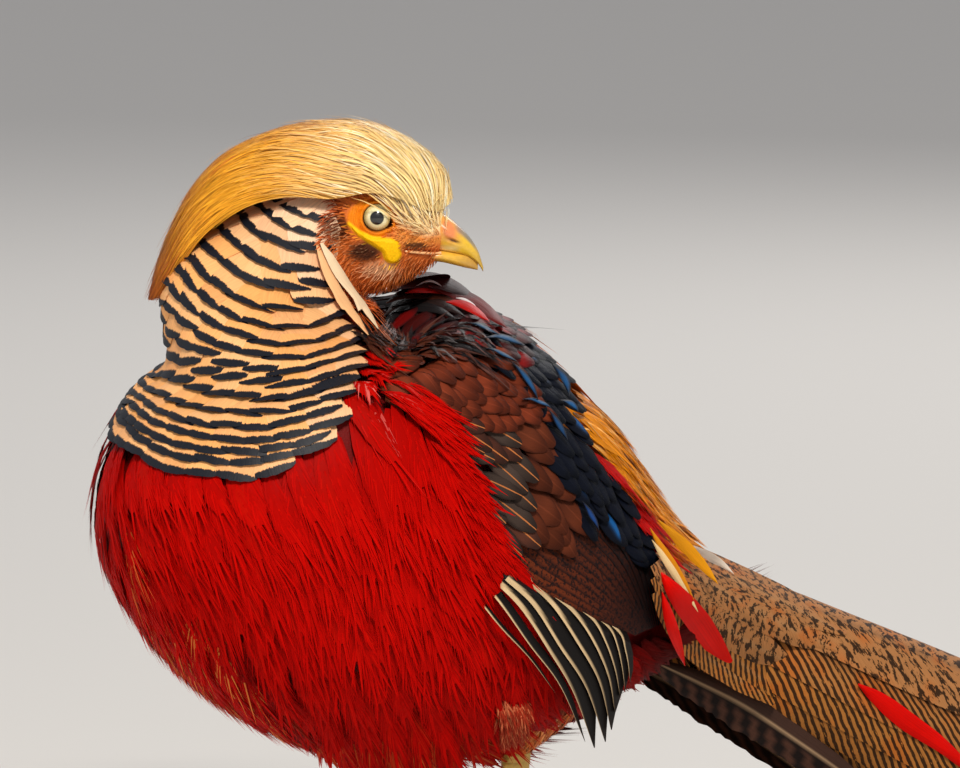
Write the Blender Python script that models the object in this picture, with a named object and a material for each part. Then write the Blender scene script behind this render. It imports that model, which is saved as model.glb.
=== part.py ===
"""Golden pheasant, an adult male standing on the floor, as a life-size still model.

The bird faces -Y with its left side at +X and looks back over its left shoulder. Its long tail
runs out behind it along +Y and lies on the floor. All lengths in this file are millimetres, and
MM turns them into metres where a mesh is made. The origin is on the floor, under the middle of
the whole bird's bounding box.
"""
import math

import bmesh
import bpy
import numpy as np

MM = 0.001
GAP = 0.3

# The head turns back over the left shoulder by the angle between -Y and its own forward axis.
HEAD_TURN_DEG = 142.0
HEAD_CENTRE = np.array([4.0, -40.0, 236.4])
HEAD_TURN = math.radians(HEAD_TURN_DEG)
HEAD_FORWARD = np.array([math.sin(HEAD_TURN), -math.cos(HEAD_TURN), 0.0])
HEAD_RIGHT = np.array([HEAD_FORWARD[1], -HEAD_FORWARD[0], 0.0])
UP = np.array([0.0, 0.0, 1.0])
# Angle round the body at which the nape lies, counted from the back over the left side.
NAPE_DEG = 360.0 - HEAD_TURN_DEG

# Head outline, seen from its side: top (forward, up), bottom (forward, up), half width.
HEAD_OUTLINE = (
    (21.5, 0.5, 19.5, -14.0, 5.5),
    (17.5, 6.5, 15.5, -17.5, 8.5),
    (11.0, 11.0, 10.0, -20.5, 10.7),
    (3.0, 13.5, 4.0, -23.5, 12.0),
    (-9.0, 15.0, -1.0, -25.0, 12.8),
    (-23.0, 13.0, -5.0, -26.0, 13.2),
)
# Neck under the cape, in the same terms, from behind the face down to the shoulders.
NECK_OUTLINE = (
    (-55.0, -5.0, -1.5, -28.5, 24.0),
    (-69.0, -21.0, 0.5, -31.5, 33.0),
)
# Torso outline: back (y, z), breast or belly (y, z), half width.
TORSO_OUTLINE = (
    (-41.0, 200.5, -109.0, 189.0, 44.0),
    (-26.0, 205.0, -124.0, 177.0, 50.0),
    (-10.0, 208.0, -135.0, 158.0, 56.0),
    (8.0, 201.0, -136.0, 134.0, 62.0),
    (26.0, 188.0, -122.0, 109.0, 65.0),
    (43.0, 171.0, -97.0, 85.0, 65.0),
    (57.0, 153.0, -66.0, 68.0, 62.0),
    (68.0, 139.0, -34.0, 61.0, 57.0),
    (78.0, 129.0, 2.0, 64.0, 50.0),
    (86.0, 122.0, 34.0, 74.0, 42.0),
    (93.0, 116.0, 60.0, 84.0, 32.0),
    (99.0, 112.0, 80.0, 92.0, 19.0),
)
HEAD_END = len(HEAD_OUTLINE) - 1.0
TORSO_START = HEAD_END + len(NECK_OUTLINE) + 1.0
TORSO_END = TORSO_START + len(TORSO_OUTLINE) - 1.0

# The plumage that has its own pieces lies in hollows of the body's outline this deep.
CAPE_DEPTH = 6.6
WING_DEPTH = 8.4
# Where the cape lies: places along the body, and angles round it.
CAPE_START, CAPE_END = HEAD_END + 0.12, 9.9
CAPE_LEFT_DEG, CAPE_RIGHT_DEG, CAPE_LOW_RIGHT_DEG = 104.0, 320.0, 252.0
CAPE_CLEAR = 2.6
CAPE_ROWS, CAPE_COLUMNS = 4, 7
CORE_THICKNESS = 0.8
# Each feather of a tier, from its sunk root to its tip: how far out it stands, and its share of the pitch.
FEATHER_THICKNESS = 0.5
CAPE_LIFT, CAPE_TAPER = (-3.6, -2.1, -1.15, -0.2), (0.25, 0.95, 0.97, 0.75)
# Where the folded wings lie.
WING_START, WING_END = 8.8, 16.3
WING_TOP_DEG, WING_LOW_DEG = 30.0, 92.0
WING_PLACES = (8.8, 11.0, 13.0, 15.0, 16.3)
WING_TOP_EDGE = (32.0, 30.0, 40.0, 55.0, 68.0)
WING_LOW_EDGE = (80.0, 88.0, 92.0, 90.0, 84.0)
WING_CLEAR = 1.0
# How far back the long flight feathers reach, from the lowest secondary to the upper tertials.
FLIGHT_TIPS = (14.8, 15.4, 15.9, 16.3, 16.2, 15.8, 15.2, 14.5)
FLIGHT_PLACES = np.array([11.0, 12.0, 13.0, 14.0, 15.0])
COVERT_ROWS, COVERT_COLUMNS, COVERT_STEP = 3, 5, 0.75
COVERT_LIFT, COVERT_TAPER = (-6.8, -3.0, -1.6, -0.4), (0.3, 0.95, 0.9, 0.35)
FLIGHT_TAPER = (0.6, 2.0, 2.2, 2.2, 2.0, 0.5)
FLIGHT_LIFT_PLACES, FLIGHT_LIFT = (11.0, 11.9, 12.8, 13.7, 14.6), (-6.8, -5.0, -3.6, -2.4, -1.4)
FLIGHT_TILT = -2.3
# Primaries below the wing's edge, the first one and the last one: place and angle of root and tip.
PRIMARIES = 6
FIRST_PRIMARY = (12.5, 84.0, 15.1, 117.0)
LAST_PRIMARY = (14.3, 82.0, 16.3, 113.0)
PRIMARY_STEPS = np.array([0.0, 0.27, 0.45, 0.64, 1.0])
PRIMARY_LIFT, PRIMARY_WIDTH, PRIMARY_TILT = (-6.8, -5.6, -1.6, 1.1, 1.6), (2.5, 4.5, 4.5, 4.2, 1.2), -1.2

# Angles of the body's mesh, closest at the edges of the wings and the cape.
HALF_AROUND_DEG = (0, 14, 27, 40, 55, 70, 84, 95, 104, 116, 130, 146, 163, 180)
AROUND_DEG = HALF_AROUND_DEG + tuple(360 - angle for angle in HALF_AROUND_DEG[-2:0:-1])

# Crest: ridge (forward, up), lower edge (forward, up), half width and thickness over the flesh.
CREST_OUTLINE = (
    (25.7, 5.4, 22.0, 0.0, 6.0, 4.0),
    (20.5, 16.0, 15.0, 1.5, 12.0, 9.0),
    (10.0, 24.5, 8.0, 5.0, 15.5, 13.0),
    (-3.0, 29.6, -2.0, 7.0, 17.0, 15.0),
    (-18.0, 30.0, -14.0, 5.0, 17.0, 15.0),
    (-33.0, 26.8, -27.0, 6.0, 16.5, 13.0),
    (-48.0, 19.7, -39.0, 4.0, 16.0, 11.0),
    (-58.5, 9.0, -49.0, -1.0, 15.0, 9.0),
    (-65.5, -4.0, -57.0, -8.0, 12.5, 7.0),
    (-70.0, -16.0, -63.5, -17.5, 9.0, 5.0),
    (-72.5, -27.0, -70.0, -27.0, 3.0, 2.5),
)
CREST_SIDE_THICKNESS = 4.4
CREST_ROWS, CREST_COLUMNS, CREST_STEP, CREST_STAGGER = 4, 8, 1.6, 0.4
CREST_HALF_DEG = 84.0
CREST_LIFT, CREST_TAPER, CREST_THICKNESS = (0.15, 0.55, 0.78, 0.97), (0.3, 0.94, 0.85, 0.14), 0.12

EYE_RADIUS = 5.2
EYE_ASIDE = 7.3
LID_RADIUS, LID_THICKNESS = 5.3, 0.8
# Mouth line from the bill back to the gape, and the fleshy lappet under the eye: forward, up.
MOUTH_LINE = ((22.5, -11.9), (18.0, -11.3), (13.0, -10.8), (9.0, -10.4))
MOUTH_WIDTH, MOUTH_DEPTH = 0.8, 0.9
LAPPET_LINE = ((-6.5, -3.6), (-4.0, -8.0), (1.0, -12.4), (6.8, -14.8))
LAPPET_WIDTH, LAPPET_THICKNESS = 3.6, 0.9
NOSTRIL_AT = (25.6, -7.2)
LEG_SPREAD = 25.6
ANKLE_Y, FOOT_Y = -1.0, -8.0
THIGH_LOW_Z = 65.0
TARSUS_RADIUS = 3.5
TOE_RADIUS = 3.1

COLOURS = {
    "red_feathers": ((0.55, 0.02, 0.01), 0.6),
    "gold_feathers": ((0.85, 0.48, 0.10), 0.45),
    "cape_feathers": ((0.86, 0.42, 0.12), 0.55),
    "face_skin": ((0.62, 0.24, 0.06), 0.7),
    "wing_feathers": ((0.13, 0.05, 0.03), 0.5),
    "tail_feathers": ((0.42, 0.22, 0.09), 0.6),
    "scarlet_feathers": ((0.70, 0.02, 0.01), 0.5),
    "rusty_feathers": ((0.40, 0.12, 0.03), 0.7),
    "bill_horn": ((0.72, 0.45, 0.08), 0.35),
    "leg_scales": ((0.62, 0.42, 0.14), 0.5),
    "claw_horn": ((0.20, 0.14, 0.09), 0.4),
    "eye": ((0.75, 0.66, 0.30), 0.1),
}


def curve(rows, place):
    """Rows of a table read at places along it, on a smooth curve through them."""
    rows = np.asarray(rows, float)
    place = np.asarray(place, float)
    first = np.clip(np.floor(place).astype(int), 0, len(rows) - 2)
    x = (place - first)[..., None]
    padded = np.vstack([2 * rows[0] - rows[1], rows, 2 * rows[-1] - rows[-2]])
    a, b, c, d = (padded[first + step] for step in range(4))
    return 0.5 * (2 * b + (c - a) * x + (2 * a - 5 * b + 4 * c - d) * x**2 + (3 * b - a - 3 * c + d) * x**3)


def smooth(low, high, value):
    """0 below low, 1 above high, and a smooth rise between them."""
    x = np.clip((np.asarray(value, float) - low) / (high - low), 0.0, 1.0)
    return x * x * (3 - 2 * x)


def head_point(forward, right, up):
    """A place given along the head's own axes."""
    forward, right, up = (np.asarray(v, float)[..., None] for v in (forward, right, up))
    return HEAD_CENTRE + forward * HEAD_FORWARD + right * HEAD_RIGHT + up * UP


def head_ring(top_forward, top_up, low_forward, low_up, half_width):
    """Centre, back arm and left arm of a ring of the head or neck, turned with the head."""
    top = head_point(top_forward, 0, top_up)
    low = head_point(low_forward, 0, low_up)
    nape = (top - low) / 2
    side = HEAD_RIGHT * half_width
    turn = math.radians(NAPE_DEG)
    back = math.cos(turn) * nape + math.sin(turn) * side
    left = math.sin(turn) * nape - math.cos(turn) * side
    return np.concatenate([(top + low) / 2, back, left])


def torso_ring(back_y, back_z, low_y, low_z, half_width):
    """Centre, back arm and left arm of a ring of the torso."""
    back = np.array([0.0, back_y, back_z])
    low = np.array([0.0, low_y, low_z])
    return np.concatenate([(back + low) / 2, (back - low) / 2, [half_width, 0.0, 0.0]])


RINGS = np.array(
    [head_ring(*row) for row in HEAD_OUTLINE + NECK_OUTLINE] + [torso_ring(*row) for row in TORSO_OUTLINE]
)


def ring_point(place, degrees, out=0.0):
    """A point of the bird's outline, moved out from its ring's centre."""
    ring = curve(RINGS, place)
    angle = np.radians(degrees)
    arm = np.cos(angle)[..., None] * ring[..., 3:6] + np.sin(angle)[..., None] * ring[..., 6:9]
    reach = np.linalg.norm(arm, axis=-1)
    return ring[..., 0:3] + arm * (1 + np.asarray(out) / reach)[..., None]


def body_point(place, degrees, out=0.0):
    """A point of the bird's outline, moved out along the surface's normal."""
    place, degrees, out = np.broadcast_arrays(*(np.asarray(v, float) for v in (place, degrees, out)))
    step = 0.01
    along = ring_point(place + step, degrees) - ring_point(place - step, degrees)
    around = ring_point(place, degrees + step) - ring_point(place, degrees - step)
    normal = np.cross(around, along)
    normal /= np.linalg.norm(normal, axis=-1, keepdims=True)
    return ring_point(place, degrees) + out[..., None] * normal


def hollow(place, degrees):
    """How far the flesh lies inside the outline, where the cape or a folded wing covers it."""
    place, degrees = np.broadcast_arrays(np.asarray(place, float), np.mod(degrees, 360.0))
    cape_right = cape_right_edge(place)
    cape = smooth(CAPE_LEFT_DEG - 20, CAPE_LEFT_DEG - 9.1, degrees)
    cape = cape * (1 - smooth(cape_right + 14, cape_right + 24, degrees))
    cape = cape * (1 - smooth(CAPE_END + 0.1, CAPE_END + 0.6, place))
    aside = np.minimum(degrees, 360.0 - degrees)
    wing = smooth(WING_TOP_DEG - 16, WING_TOP_DEG - 3.1, aside)
    wing = wing * (1 - smooth(WING_LOW_DEG + 3, WING_LOW_DEG + 12, aside))
    wing = wing * smooth(WING_START - 0.8, WING_START - 0.3, place)
    wing = wing * (1 - smooth(WING_END + 0.2, WING_END + 0.7, place))
    return np.maximum(CAPE_DEPTH * cape, WING_DEPTH * wing)


def cape_right_edge(place):
    """Angle of the cape's far edge, which draws in where it comes down to the right wing."""
    return CAPE_RIGHT_DEG - (CAPE_RIGHT_DEG - CAPE_LOW_RIGHT_DEG) * smooth(7.2, 8.5, place)


def loft(rings):
    """A closed tube through rings of points, with its two ends filled to their middles."""
    count, around = rings.shape[:2]
    points = list(rings.reshape(-1, 3)) + [rings[0].mean(axis=0), rings[-1].mean(axis=0)]
    faces = []
    for i in range(count - 1):
        for j in range(around):
            k = (j + 1) % around
            a, b, c, d = i * around + j, i * around + k, (i + 1) * around + k, (i + 1) * around + j
            faces += [(a, b, c), (a, c, d)]
    start, end = count * around, count * around + 1
    for j in range(around):
        k = (j + 1) % around
        faces += [(start, k, j), (end, (count - 1) * around + j, (count - 1) * around + k)]
    return points, faces


def slab(low, high):
    """A closed plate between two grids of points, split alike on both faces."""
    rows, columns = low.shape[:2]
    points = list(low.reshape(-1, 3)) + list(high.reshape(-1, 3))
    size = rows * columns
    faces = []
    for i in range(rows - 1):
        for j in range(columns - 1):
            a, b = i * columns + j, i * columns + j + 1
            c, d = b + columns, a + columns
            faces += [(a, c, b), (a, d, c), (size + a, size + b, size + c), (size + a, size + c, size + d)]
    rim = [j for j in range(columns)]
    rim += [i * columns + columns - 1 for i in range(1, rows)]
    rim += [(rows - 1) * columns + j for j in range(columns - 2, -1, -1)]
    rim += [i * columns for i in range(rows - 2, 0, -1)]
    for here, there in zip(rim, rim[1:] + rim[:1]):
        faces += [(here, there, size + there), (here, size + there, size + here)]
    return points, faces


def hoop(rings):
    """A closed ring-shaped tube through rings of points, whose last one meets the first."""
    count, around = rings.shape[:2]
    faces = []
    for i in range(count):
        for j in range(around):
            k, m = (j + 1) % around, (i + 1) % count
            a, b, c, d = i * around + j, i * around + k, m * around + k, m * around + j
            faces += [(a, b, c), (a, c, d)]
    return list(rings.reshape(-1, 3)), faces


def vane(surface, place, degrees, width, lift, tilt=0.0, thick=FEATHER_THICKNESS, columns=2):
    """A tapered feather over a surface, given row by row from its root to its tip.

    place and degrees are its middle line on the surface, width its width, lift how far its
    middle stands out, and tilt how much more its far edge stands out than its near one.
    """
    place, degrees, width, lift = (np.asarray(v, float) for v in (place, degrees, width, lift))
    step = 0.5
    around = surface(place, degrees + step) - surface(place, degrees - step)
    per_degree = np.linalg.norm(around, axis=-1) / (2 * step)
    sides = np.linspace(-0.5, 0.5, columns)
    spread = degrees[:, None] + sides * (width / per_degree)[:, None]
    out = lift[:, None] + sides * tilt
    at = place[:, None] + 0 * sides
    taper = np.linspace(1.0, 0.7, len(place))[:, None] * thick / 2
    return slab(surface(at, spread, out - taper), surface(at, spread, out + taper))


def along(start, end, rows):
    """Places or angles spaced evenly from root to tip."""
    return np.linspace(start, end, rows)


def shaped(profile, rows):
    """A profile given at a few even steps, read at the rows of a vane."""
    return np.interp(np.linspace(0, 1, rows), np.linspace(0, 1, len(profile)), profile)


def mesh_object(name, shape):
    """A mesh object in metres with its faces turned outward."""
    points, faces = shape
    mesh = bpy.data.meshes.new(name)
    mesh.from_pydata([tuple(np.asarray(p) * MM) for p in points], [], faces)
    work = bmesh.new()
    work.from_mesh(mesh)
    bmesh.ops.recalc_face_normals(work, faces=work.faces)
    work.to_mesh(mesh)
    work.free()
    made = bpy.data.objects.new(name, mesh)
    bpy.context.scene.collection.objects.link(made)
    return made


def discard(things):
    """Remove objects and their meshes."""
    for thing in things:
        mesh = thing.data
        bpy.data.objects.remove(thing)
        bpy.data.meshes.remove(mesh)


def combine(target, tools, operation, solver="EXACT"):
    """Apply one Boolean of all the tools to the target, and remove them."""
    group = bpy.data.collections.new(target.name + "_tools")
    bpy.context.scene.collection.children.link(group)
    for tool in tools:
        bpy.context.scene.collection.objects.unlink(tool)
        group.objects.link(tool)
    modifier = target.modifiers.new(operation, "BOOLEAN")
    modifier.operation = operation
    modifier.operand_type = "COLLECTION"
    modifier.collection = group
    modifier.solver = solver
    evaluated = target.evaluated_get(bpy.context.evaluated_depsgraph_get())
    result = bpy.data.meshes.new_from_object(evaluated)
    target.modifiers.clear()
    old = target.data
    target.data = result
    bpy.data.meshes.remove(old)
    discard(list(group.objects))
    bpy.data.collections.remove(group)


def keep_largest(target):
    """Keep the closed surface with the most volume, and drop sealed hollows and loose scraps."""
    work = bmesh.new()
    work.from_mesh(target.data)
    bmesh.ops.triangulate(work, faces=work.faces)
    work.faces.index_update()
    label = [-1] * len(work.faces)
    volumes = []
    for face in work.faces:
        if label[face.index] >= 0:
            continue
        label[face.index] = len(volumes)
        stack, volume = [face], 0.0
        while stack:
            current = stack.pop()
            a, b, c = (v.co for v in current.verts)
            volume += a.dot(b.cross(c)) / 6
            for edge in (edge for edge in current.edges if len(edge.link_faces) == 2):
                for other in edge.link_faces:
                    if label[other.index] < 0:
                        label[other.index] = len(volumes)
                        stack.append(other)
        volumes.append(volume)
    best = int(np.argmax(volumes))
    bmesh.ops.delete(work, geom=[f for f in work.faces if label[f.index] != best], context="FACES")
    work.to_mesh(target.data)
    work.free()


def build(name, slot, shapes, cutters=(), solver="EXACT"):
    """One named sub-part: its shapes fused, cut clear of its neighbours, with its material."""
    made = mesh_object(name, shapes[0])
    if len(shapes) > 1:
        combine(made, [mesh_object(f"{name}_piece", shape) for shape in shapes[1:]], "UNION", solver)
    for cutter in cutters:
        combine(made, [mesh_object(f"{name}_cutter", cutter)], "DIFFERENCE", solver)
    keep_largest(made)
    made.data.materials.clear()
    made.data.materials.append(material(slot))
    made.data.shade_smooth()
    made.data.set_sharp_from_angle(angle=math.radians(40))
    return made


def material(slot):
    """The Principled material of a slot, made on first use."""
    found = bpy.data.materials.get(slot)
    if found:
        return found
    colour, roughness = COLOURS[slot]
    made = bpy.data.materials.new(slot)
    made.use_nodes = True
    shader = made.node_tree.nodes["Principled BSDF"]
    shader.inputs["Base Color"].default_value = (*colour, 1.0)
    shader.inputs["Roughness"].default_value = roughness
    shader.inputs["Metallic"].default_value = 0.0
    return made


def body_loft(start, end, rings, around=AROUND_DEG, grow=0.0, hollowed=True, end_gap=0.0):
    """A closed length of the body between two places, drawn in a little at its ends."""
    places = np.linspace(start, end, rings)[:, None]
    degrees = np.asarray(around, float)[None, :]
    inward = hollow(places, degrees) if hollowed else 0.0
    grid = ring_point(places, degrees, grow - inward)
    for row, side in ((0, 1.0), (-1, -1.0)):
        ring = curve(RINGS, places[row, 0])
        normal = np.cross(ring[6:9], ring[3:6])
        normal /= np.linalg.norm(normal)
        inside = curve(RINGS, places[row, 0] + 0.2 * side)[:3] - ring[:3]
        grid[row] += normal * math.copysign(end_gap, normal @ inside)
    return loft(grid)


def torso_shape(grow=0.0):
    return body_loft(TORSO_START, TORSO_END, 17, grow=grow, end_gap=GAP / 2 - grow)


def neck_shape(grow=0.0):
    return body_loft(HEAD_END, TORSO_START, 10, grow=grow, end_gap=GAP / 2 - grow)


def head_shape(grow=0.0):
    return body_loft(0.0, HEAD_END, 10, grow=grow, hollowed=False, end_gap=GAP / 2 - grow)


def ball(centre, radius, segments=10):
    """A closed sphere of rings about the head's side axis."""
    turns = np.radians(np.arange(segments) * 360.0 / segments)
    rings = []
    for lift in np.radians(np.linspace(-80, 80, segments // 2 + 1)):
        forward = centre[0] + radius * math.cos(lift) * np.cos(turns)
        up = centre[2] + radius * math.cos(lift) * np.sin(turns)
        rings.append(head_point(forward, centre[1] + radius * math.sin(lift), up))
    return loft(np.array(rings))


def head_side(forward, up):
    """Half width of the head at a place in its middle plane."""
    rows = curve(HEAD_OUTLINE, np.linspace(0, HEAD_END, 200))
    top, line = rows[:, 0:2], rows[:, 2:4] - rows[:, 0:2]
    reach = np.array([forward, up]) - top
    length = np.linalg.norm(line, axis=1)
    nearest = np.argmin(np.abs(line[:, 0] * reach[:, 1] - line[:, 1] * reach[:, 0]) / length)
    share = (reach[nearest] @ line[nearest]) / length[nearest] ** 2
    return rows[nearest, 4] * math.sqrt(max(0.0, 1.0 - (2.0 * share - 1.0) ** 2))


def head_band(line, side, width, inside, outside):
    """A narrow plate along a line on one side of the head, from inside its skin to outside it."""
    line = np.asarray(line, float)
    run = np.gradient(line, axis=0)
    across = np.stack([-run[:, 1], run[:, 0]], axis=1) / np.linalg.norm(run, axis=1)[:, None]
    faces = []
    for out in (inside, outside):
        grid = []
        for point, turn in zip(line, across):
            edges = [point + turn * width * half for half in (-0.5, 0.5)]
            grid.append([head_point(f, side * (head_side(f, u) + out), u) for f, u in edges])
        faces.append(np.array(grid))
    return slab(*faces)


def lids(side):
    """The rim of bare skin round an eye."""
    rings = []
    for turn in np.radians(np.arange(12) * 30.0):
        forward, up = math.cos(turn), math.sin(turn)
        ring = []
        for angle in np.radians(np.arange(4) * 90.0):
            radius = LID_RADIUS + LID_THICKNESS * math.cos(angle)
            middle = head_side(LID_RADIUS * forward, LID_RADIUS * up)
            out = side * (middle + LID_THICKNESS * math.sin(angle))
            ring.append(head_point(radius * forward, out, radius * up))
        rings.append(ring)
    return hoop(np.array(rings))


def make_head():
    """The head with its lids, lappets and mouth line, and the eyes in their sockets."""
    skin, cuts = [head_shape()], []
    for side in (1, -1):
        skin.append(lids(side))
        skin.append(head_band(LAPPET_LINE, side, LAPPET_WIDTH, -1.0, LAPPET_THICKNESS))
        cuts.append(ball((0.0, side * EYE_ASIDE, 0.0), EYE_RADIUS + GAP))
        cuts.append(head_band(MOUTH_LINE, side, MOUTH_WIDTH, -MOUTH_DEPTH, 2.0))
    build("head", "face_skin", skin, cuts)
    for side, name in ((1, "eye_right"), (-1, "eye_left")):
        build(name, "eye", [ball((0.0, side * EYE_ASIDE, 0.0), EYE_RADIUS)])


# Bill seen from its side: forward, culmen up, cutting edge up, half width; then the lower half.
UPPER_BILL = (
    (21.8, -0.6, -11.6, 4.6),
    (25.0, -3.2, -12.4, 4.0),
    (28.5, -6.6, -13.4, 3.0),
    (31.5, -11.2, -15.6, 1.9),
    (33.3, -16.6, -18.0, 0.7),
)
LOWER_BILL = (
    (20.6, -12.0, -14.2, 4.2),
    (24.0, -12.9, -15.4, 3.4),
    (27.5, -13.9, -16.0, 2.3),
    (30.0, -15.6, -16.6, 1.2),
)


def bill_half(outline):
    """A tapering half of the bill through upright rings."""
    turns = np.radians(np.arange(12) * 30.0)
    rings = []
    for place in np.linspace(0, len(outline) - 1, 7):
        forward, top, low, width = curve(outline, place)
        up = (top + low) / 2 + (top - low) / 2 * np.cos(turns)
        rings.append(head_point(forward, width * np.sin(turns), up))
    return loft(np.array(rings))


def make_bill():
    head = head_shape(grow=GAP)
    forward, up = NOSTRIL_AT
    nostrils = []
    for side in (1, -1):
        outer, inner = head_point(forward, side * 5.5, up), head_point(forward + 0.6, side * 2.2, up - 0.3)
        nostrils.append(cone(outer, inner, 1.1, sides=6, tip=0.7))
    build("bill_upper", "bill_horn", [bill_half(UPPER_BILL)], [head] + nostrils)
    build("bill_lower", "bill_horn", [bill_half(LOWER_BILL)], [head])


def crest_point(place, degrees, share=1.0):
    """A point of the crest's arch, between the flesh at share 0 and its outline at share 1."""
    row = curve(CREST_OUTLINE, place)
    angle = np.radians(degrees)
    ridge, edge, width, thickness = row[..., 0:2], row[..., 2:4], row[..., 4], row[..., 5]
    rise = ridge - edge
    height = np.linalg.norm(rise, axis=-1)
    inside = 1.0 - np.asarray(share)
    keep = 1.0 - inside * thickness / height
    flat = edge + rise * (keep * np.cos(angle))[..., None]
    return head_point(flat[..., 0], (width - inside * CREST_SIDE_THICKNESS) * np.sin(angle), flat[..., 1])


def crest_width(place, middle, pitch):
    """Distance along the crest's outline that an angle of one lock's pitch takes."""
    near, far = crest_point(place, middle - pitch / 2), crest_point(place, middle + pitch / 2)
    return np.linalg.norm(far - near, axis=-1)


def make_crest():
    """Long silky locks from the forehead down the nape, over a low core."""
    pitch = 2 * CREST_HALF_DEG / CREST_COLUMNS
    places = CREST_STEP * np.arange(CREST_ROWS + 2)[:, None]
    degrees = along(-CREST_HALF_DEG, CREST_HALF_DEG, CREST_COLUMNS + 1)[None, :]
    core = slab(crest_point(places, degrees, -0.3), crest_point(places, degrees, 0.3))
    locks = []
    for column in range(CREST_COLUMNS):
        middle = -CREST_HALF_DEG + pitch * (column + 0.5)
        for row in range(CREST_ROWS):
            place = CREST_STEP * (row + CREST_STAGGER * (column % 2) + np.arange(4))
            gather = 1.0 - 0.5 * smooth(7.5, 9.6, place)
            width = CREST_TAPER * crest_width(place, middle, pitch)
            locks.append(vane(crest_point, place, middle * gather, width, CREST_LIFT, thick=CREST_THICKNESS))
    clear_neck = body_loft(HEAD_END - 0.6, TORSO_START + 1.0, 15, grow=0.9, hollowed=False)
    cutters = [head_shape(grow=GAP), clear_neck]
    build("crest", "gold_feathers", [core] + locks, cutters, solver="MANIFOLD")


def cape_degrees(place, share):
    """Angle at a share of the way across the cape, from its left edge to its right one."""
    left = CAPE_LEFT_DEG + 8.0 * smooth(8.0, 9.9, place)
    return left + (cape_right_edge(place) - left) * share


def make_cape():
    """Rows of broad, square-ended feathers like shingles round the neck, over a thin core."""
    step = (CAPE_END - CAPE_START) / (CAPE_ROWS + 2)
    places = CAPE_START + step * np.arange(CAPE_ROWS + 1)[:, None]
    shares = along(0.0, 1.0, 2 * CAPE_COLUMNS + 1)[None, 1:-1]
    degrees = cape_degrees(places, shares)
    inside = CAPE_CLEAR - CAPE_DEPTH
    core = slab(ring_point(places, degrees, inside), ring_point(places, degrees, inside + CORE_THICKNESS))
    feathers = []
    for row in range(CAPE_ROWS):
        place = CAPE_START + step * (row + np.arange(4))
        for number in range(CAPE_COLUMNS - row % 2):
            share = (number + 0.5 + 0.5 * (row % 2)) / CAPE_COLUMNS
            near = ring_point(place, cape_degrees(place, share - 0.5 / CAPE_COLUMNS))
            far = ring_point(place, cape_degrees(place, share + 0.5 / CAPE_COLUMNS))
            width = np.linalg.norm(far - near, axis=-1) * CAPE_TAPER
            middle = cape_degrees(place, share)
            feathers.append(vane(ring_point, place, middle, width, CAPE_LIFT, columns=3))
    build("cape", "cape_feathers", [core] + feathers)


def wing_degrees(place, share):
    """Angle at a share of the way across the folded wing, from its lower edge to its upper one."""
    low = np.interp(place, WING_PLACES, WING_LOW_EDGE)
    top = np.interp(place, WING_PLACES, WING_TOP_EDGE)
    return low + (top - low) * share


def wing_width(surface, place, share, part):
    """Distance across a share of the folded wing."""
    near, far = wing_degrees(place, share - part / 2), wing_degrees(place, share + part / 2)
    return np.linalg.norm(surface(place, far) - surface(place, near), axis=-1)


def make_wing(name, side):
    """A folded wing: rounded coverts over the long flight feathers, with the primaries below."""

    def surface(place, degrees, out=0.0):
        return ring_point(place, side * degrees, out)

    places = WING_START + COVERT_STEP * np.array([0.1, 1.0, 2.0, 3.0, 4.2, 5.6, 7.0])[:, None]
    shares = along(0.05, 0.95, COVERT_COLUMNS + 1)[None, :]
    degrees = wing_degrees(places, shares)
    inside = WING_CLEAR - WING_DEPTH
    pieces = [slab(surface(places, degrees, inside), surface(places, degrees, inside + 1.2))]
    for row in range(COVERT_ROWS):
        place = WING_START + COVERT_STEP * (row + np.arange(4))
        for number in range(COVERT_COLUMNS - row % 2):
            share = (number + 0.5 + 0.5 * (row % 2)) / COVERT_COLUMNS
            width = wing_width(surface, place, share, 1.0 / COVERT_COLUMNS)
            degrees = wing_degrees(place, share)
            pieces.append(vane(surface, place, degrees, width * COVERT_TAPER, COVERT_LIFT))
    count = len(FLIGHT_TIPS)
    for number, tip in enumerate(FLIGHT_TIPS):
        place = np.append(FLIGHT_PLACES[FLIGHT_PLACES < tip - 0.3], tip)
        share = (number + 0.5) / count
        width = wing_width(surface, place, share, 1.0 / count)
        width = width * shaped(FLIGHT_TAPER, len(place))
        lift = np.interp(place, FLIGHT_LIFT_PLACES, FLIGHT_LIFT)
        pieces.append(vane(surface, place, wing_degrees(place, share), width, lift, FLIGHT_TILT))
    for number in range(PRIMARIES):
        ends = np.array(FIRST_PRIMARY) + (np.array(LAST_PRIMARY) - FIRST_PRIMARY) * number / (PRIMARIES - 1)
        place = ends[0] + (ends[2] - ends[0]) * PRIMARY_STEPS
        degrees = ends[1] + (ends[3] - ends[1]) * PRIMARY_STEPS
        pieces.append(vane(surface, place, degrees, PRIMARY_WIDTH, PRIMARY_LIFT, PRIMARY_TILT))
    build(name, "wing_feathers", pieces, [torso_shape(grow=GAP)])


# Tail seen from its side: top (y, z), low edge (y, z), half width.
TAIL_OUTLINE = (
    (99.2, 111.8, 80.2, 91.8, 19.0),
    (110.0, 112.0, 92.0, 70.0, 20.0),
    (140.0, 99.0, 126.0, 50.0, 22.0),
    (200.0, 75.0, 192.0, 16.0, 23.0),
    (255.0, 52.0, 250.0, 0.0, 23.0),
    (310.0, 32.0, 310.0, -10.0, 23.0),
    (375.0, 19.0, 375.0, -14.0, 23.0),
    (460.0, 12.0, 460.0, -11.0, 22.0),
    (570.0, 9.5, 570.0, -8.5, 19.0),
    (700.0, 7.0, 700.0, -6.0, 13.0),
    (820.0, 3.0, 820.0, -2.0, 2.0),
)
TAIL_CUT = 4.85
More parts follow.
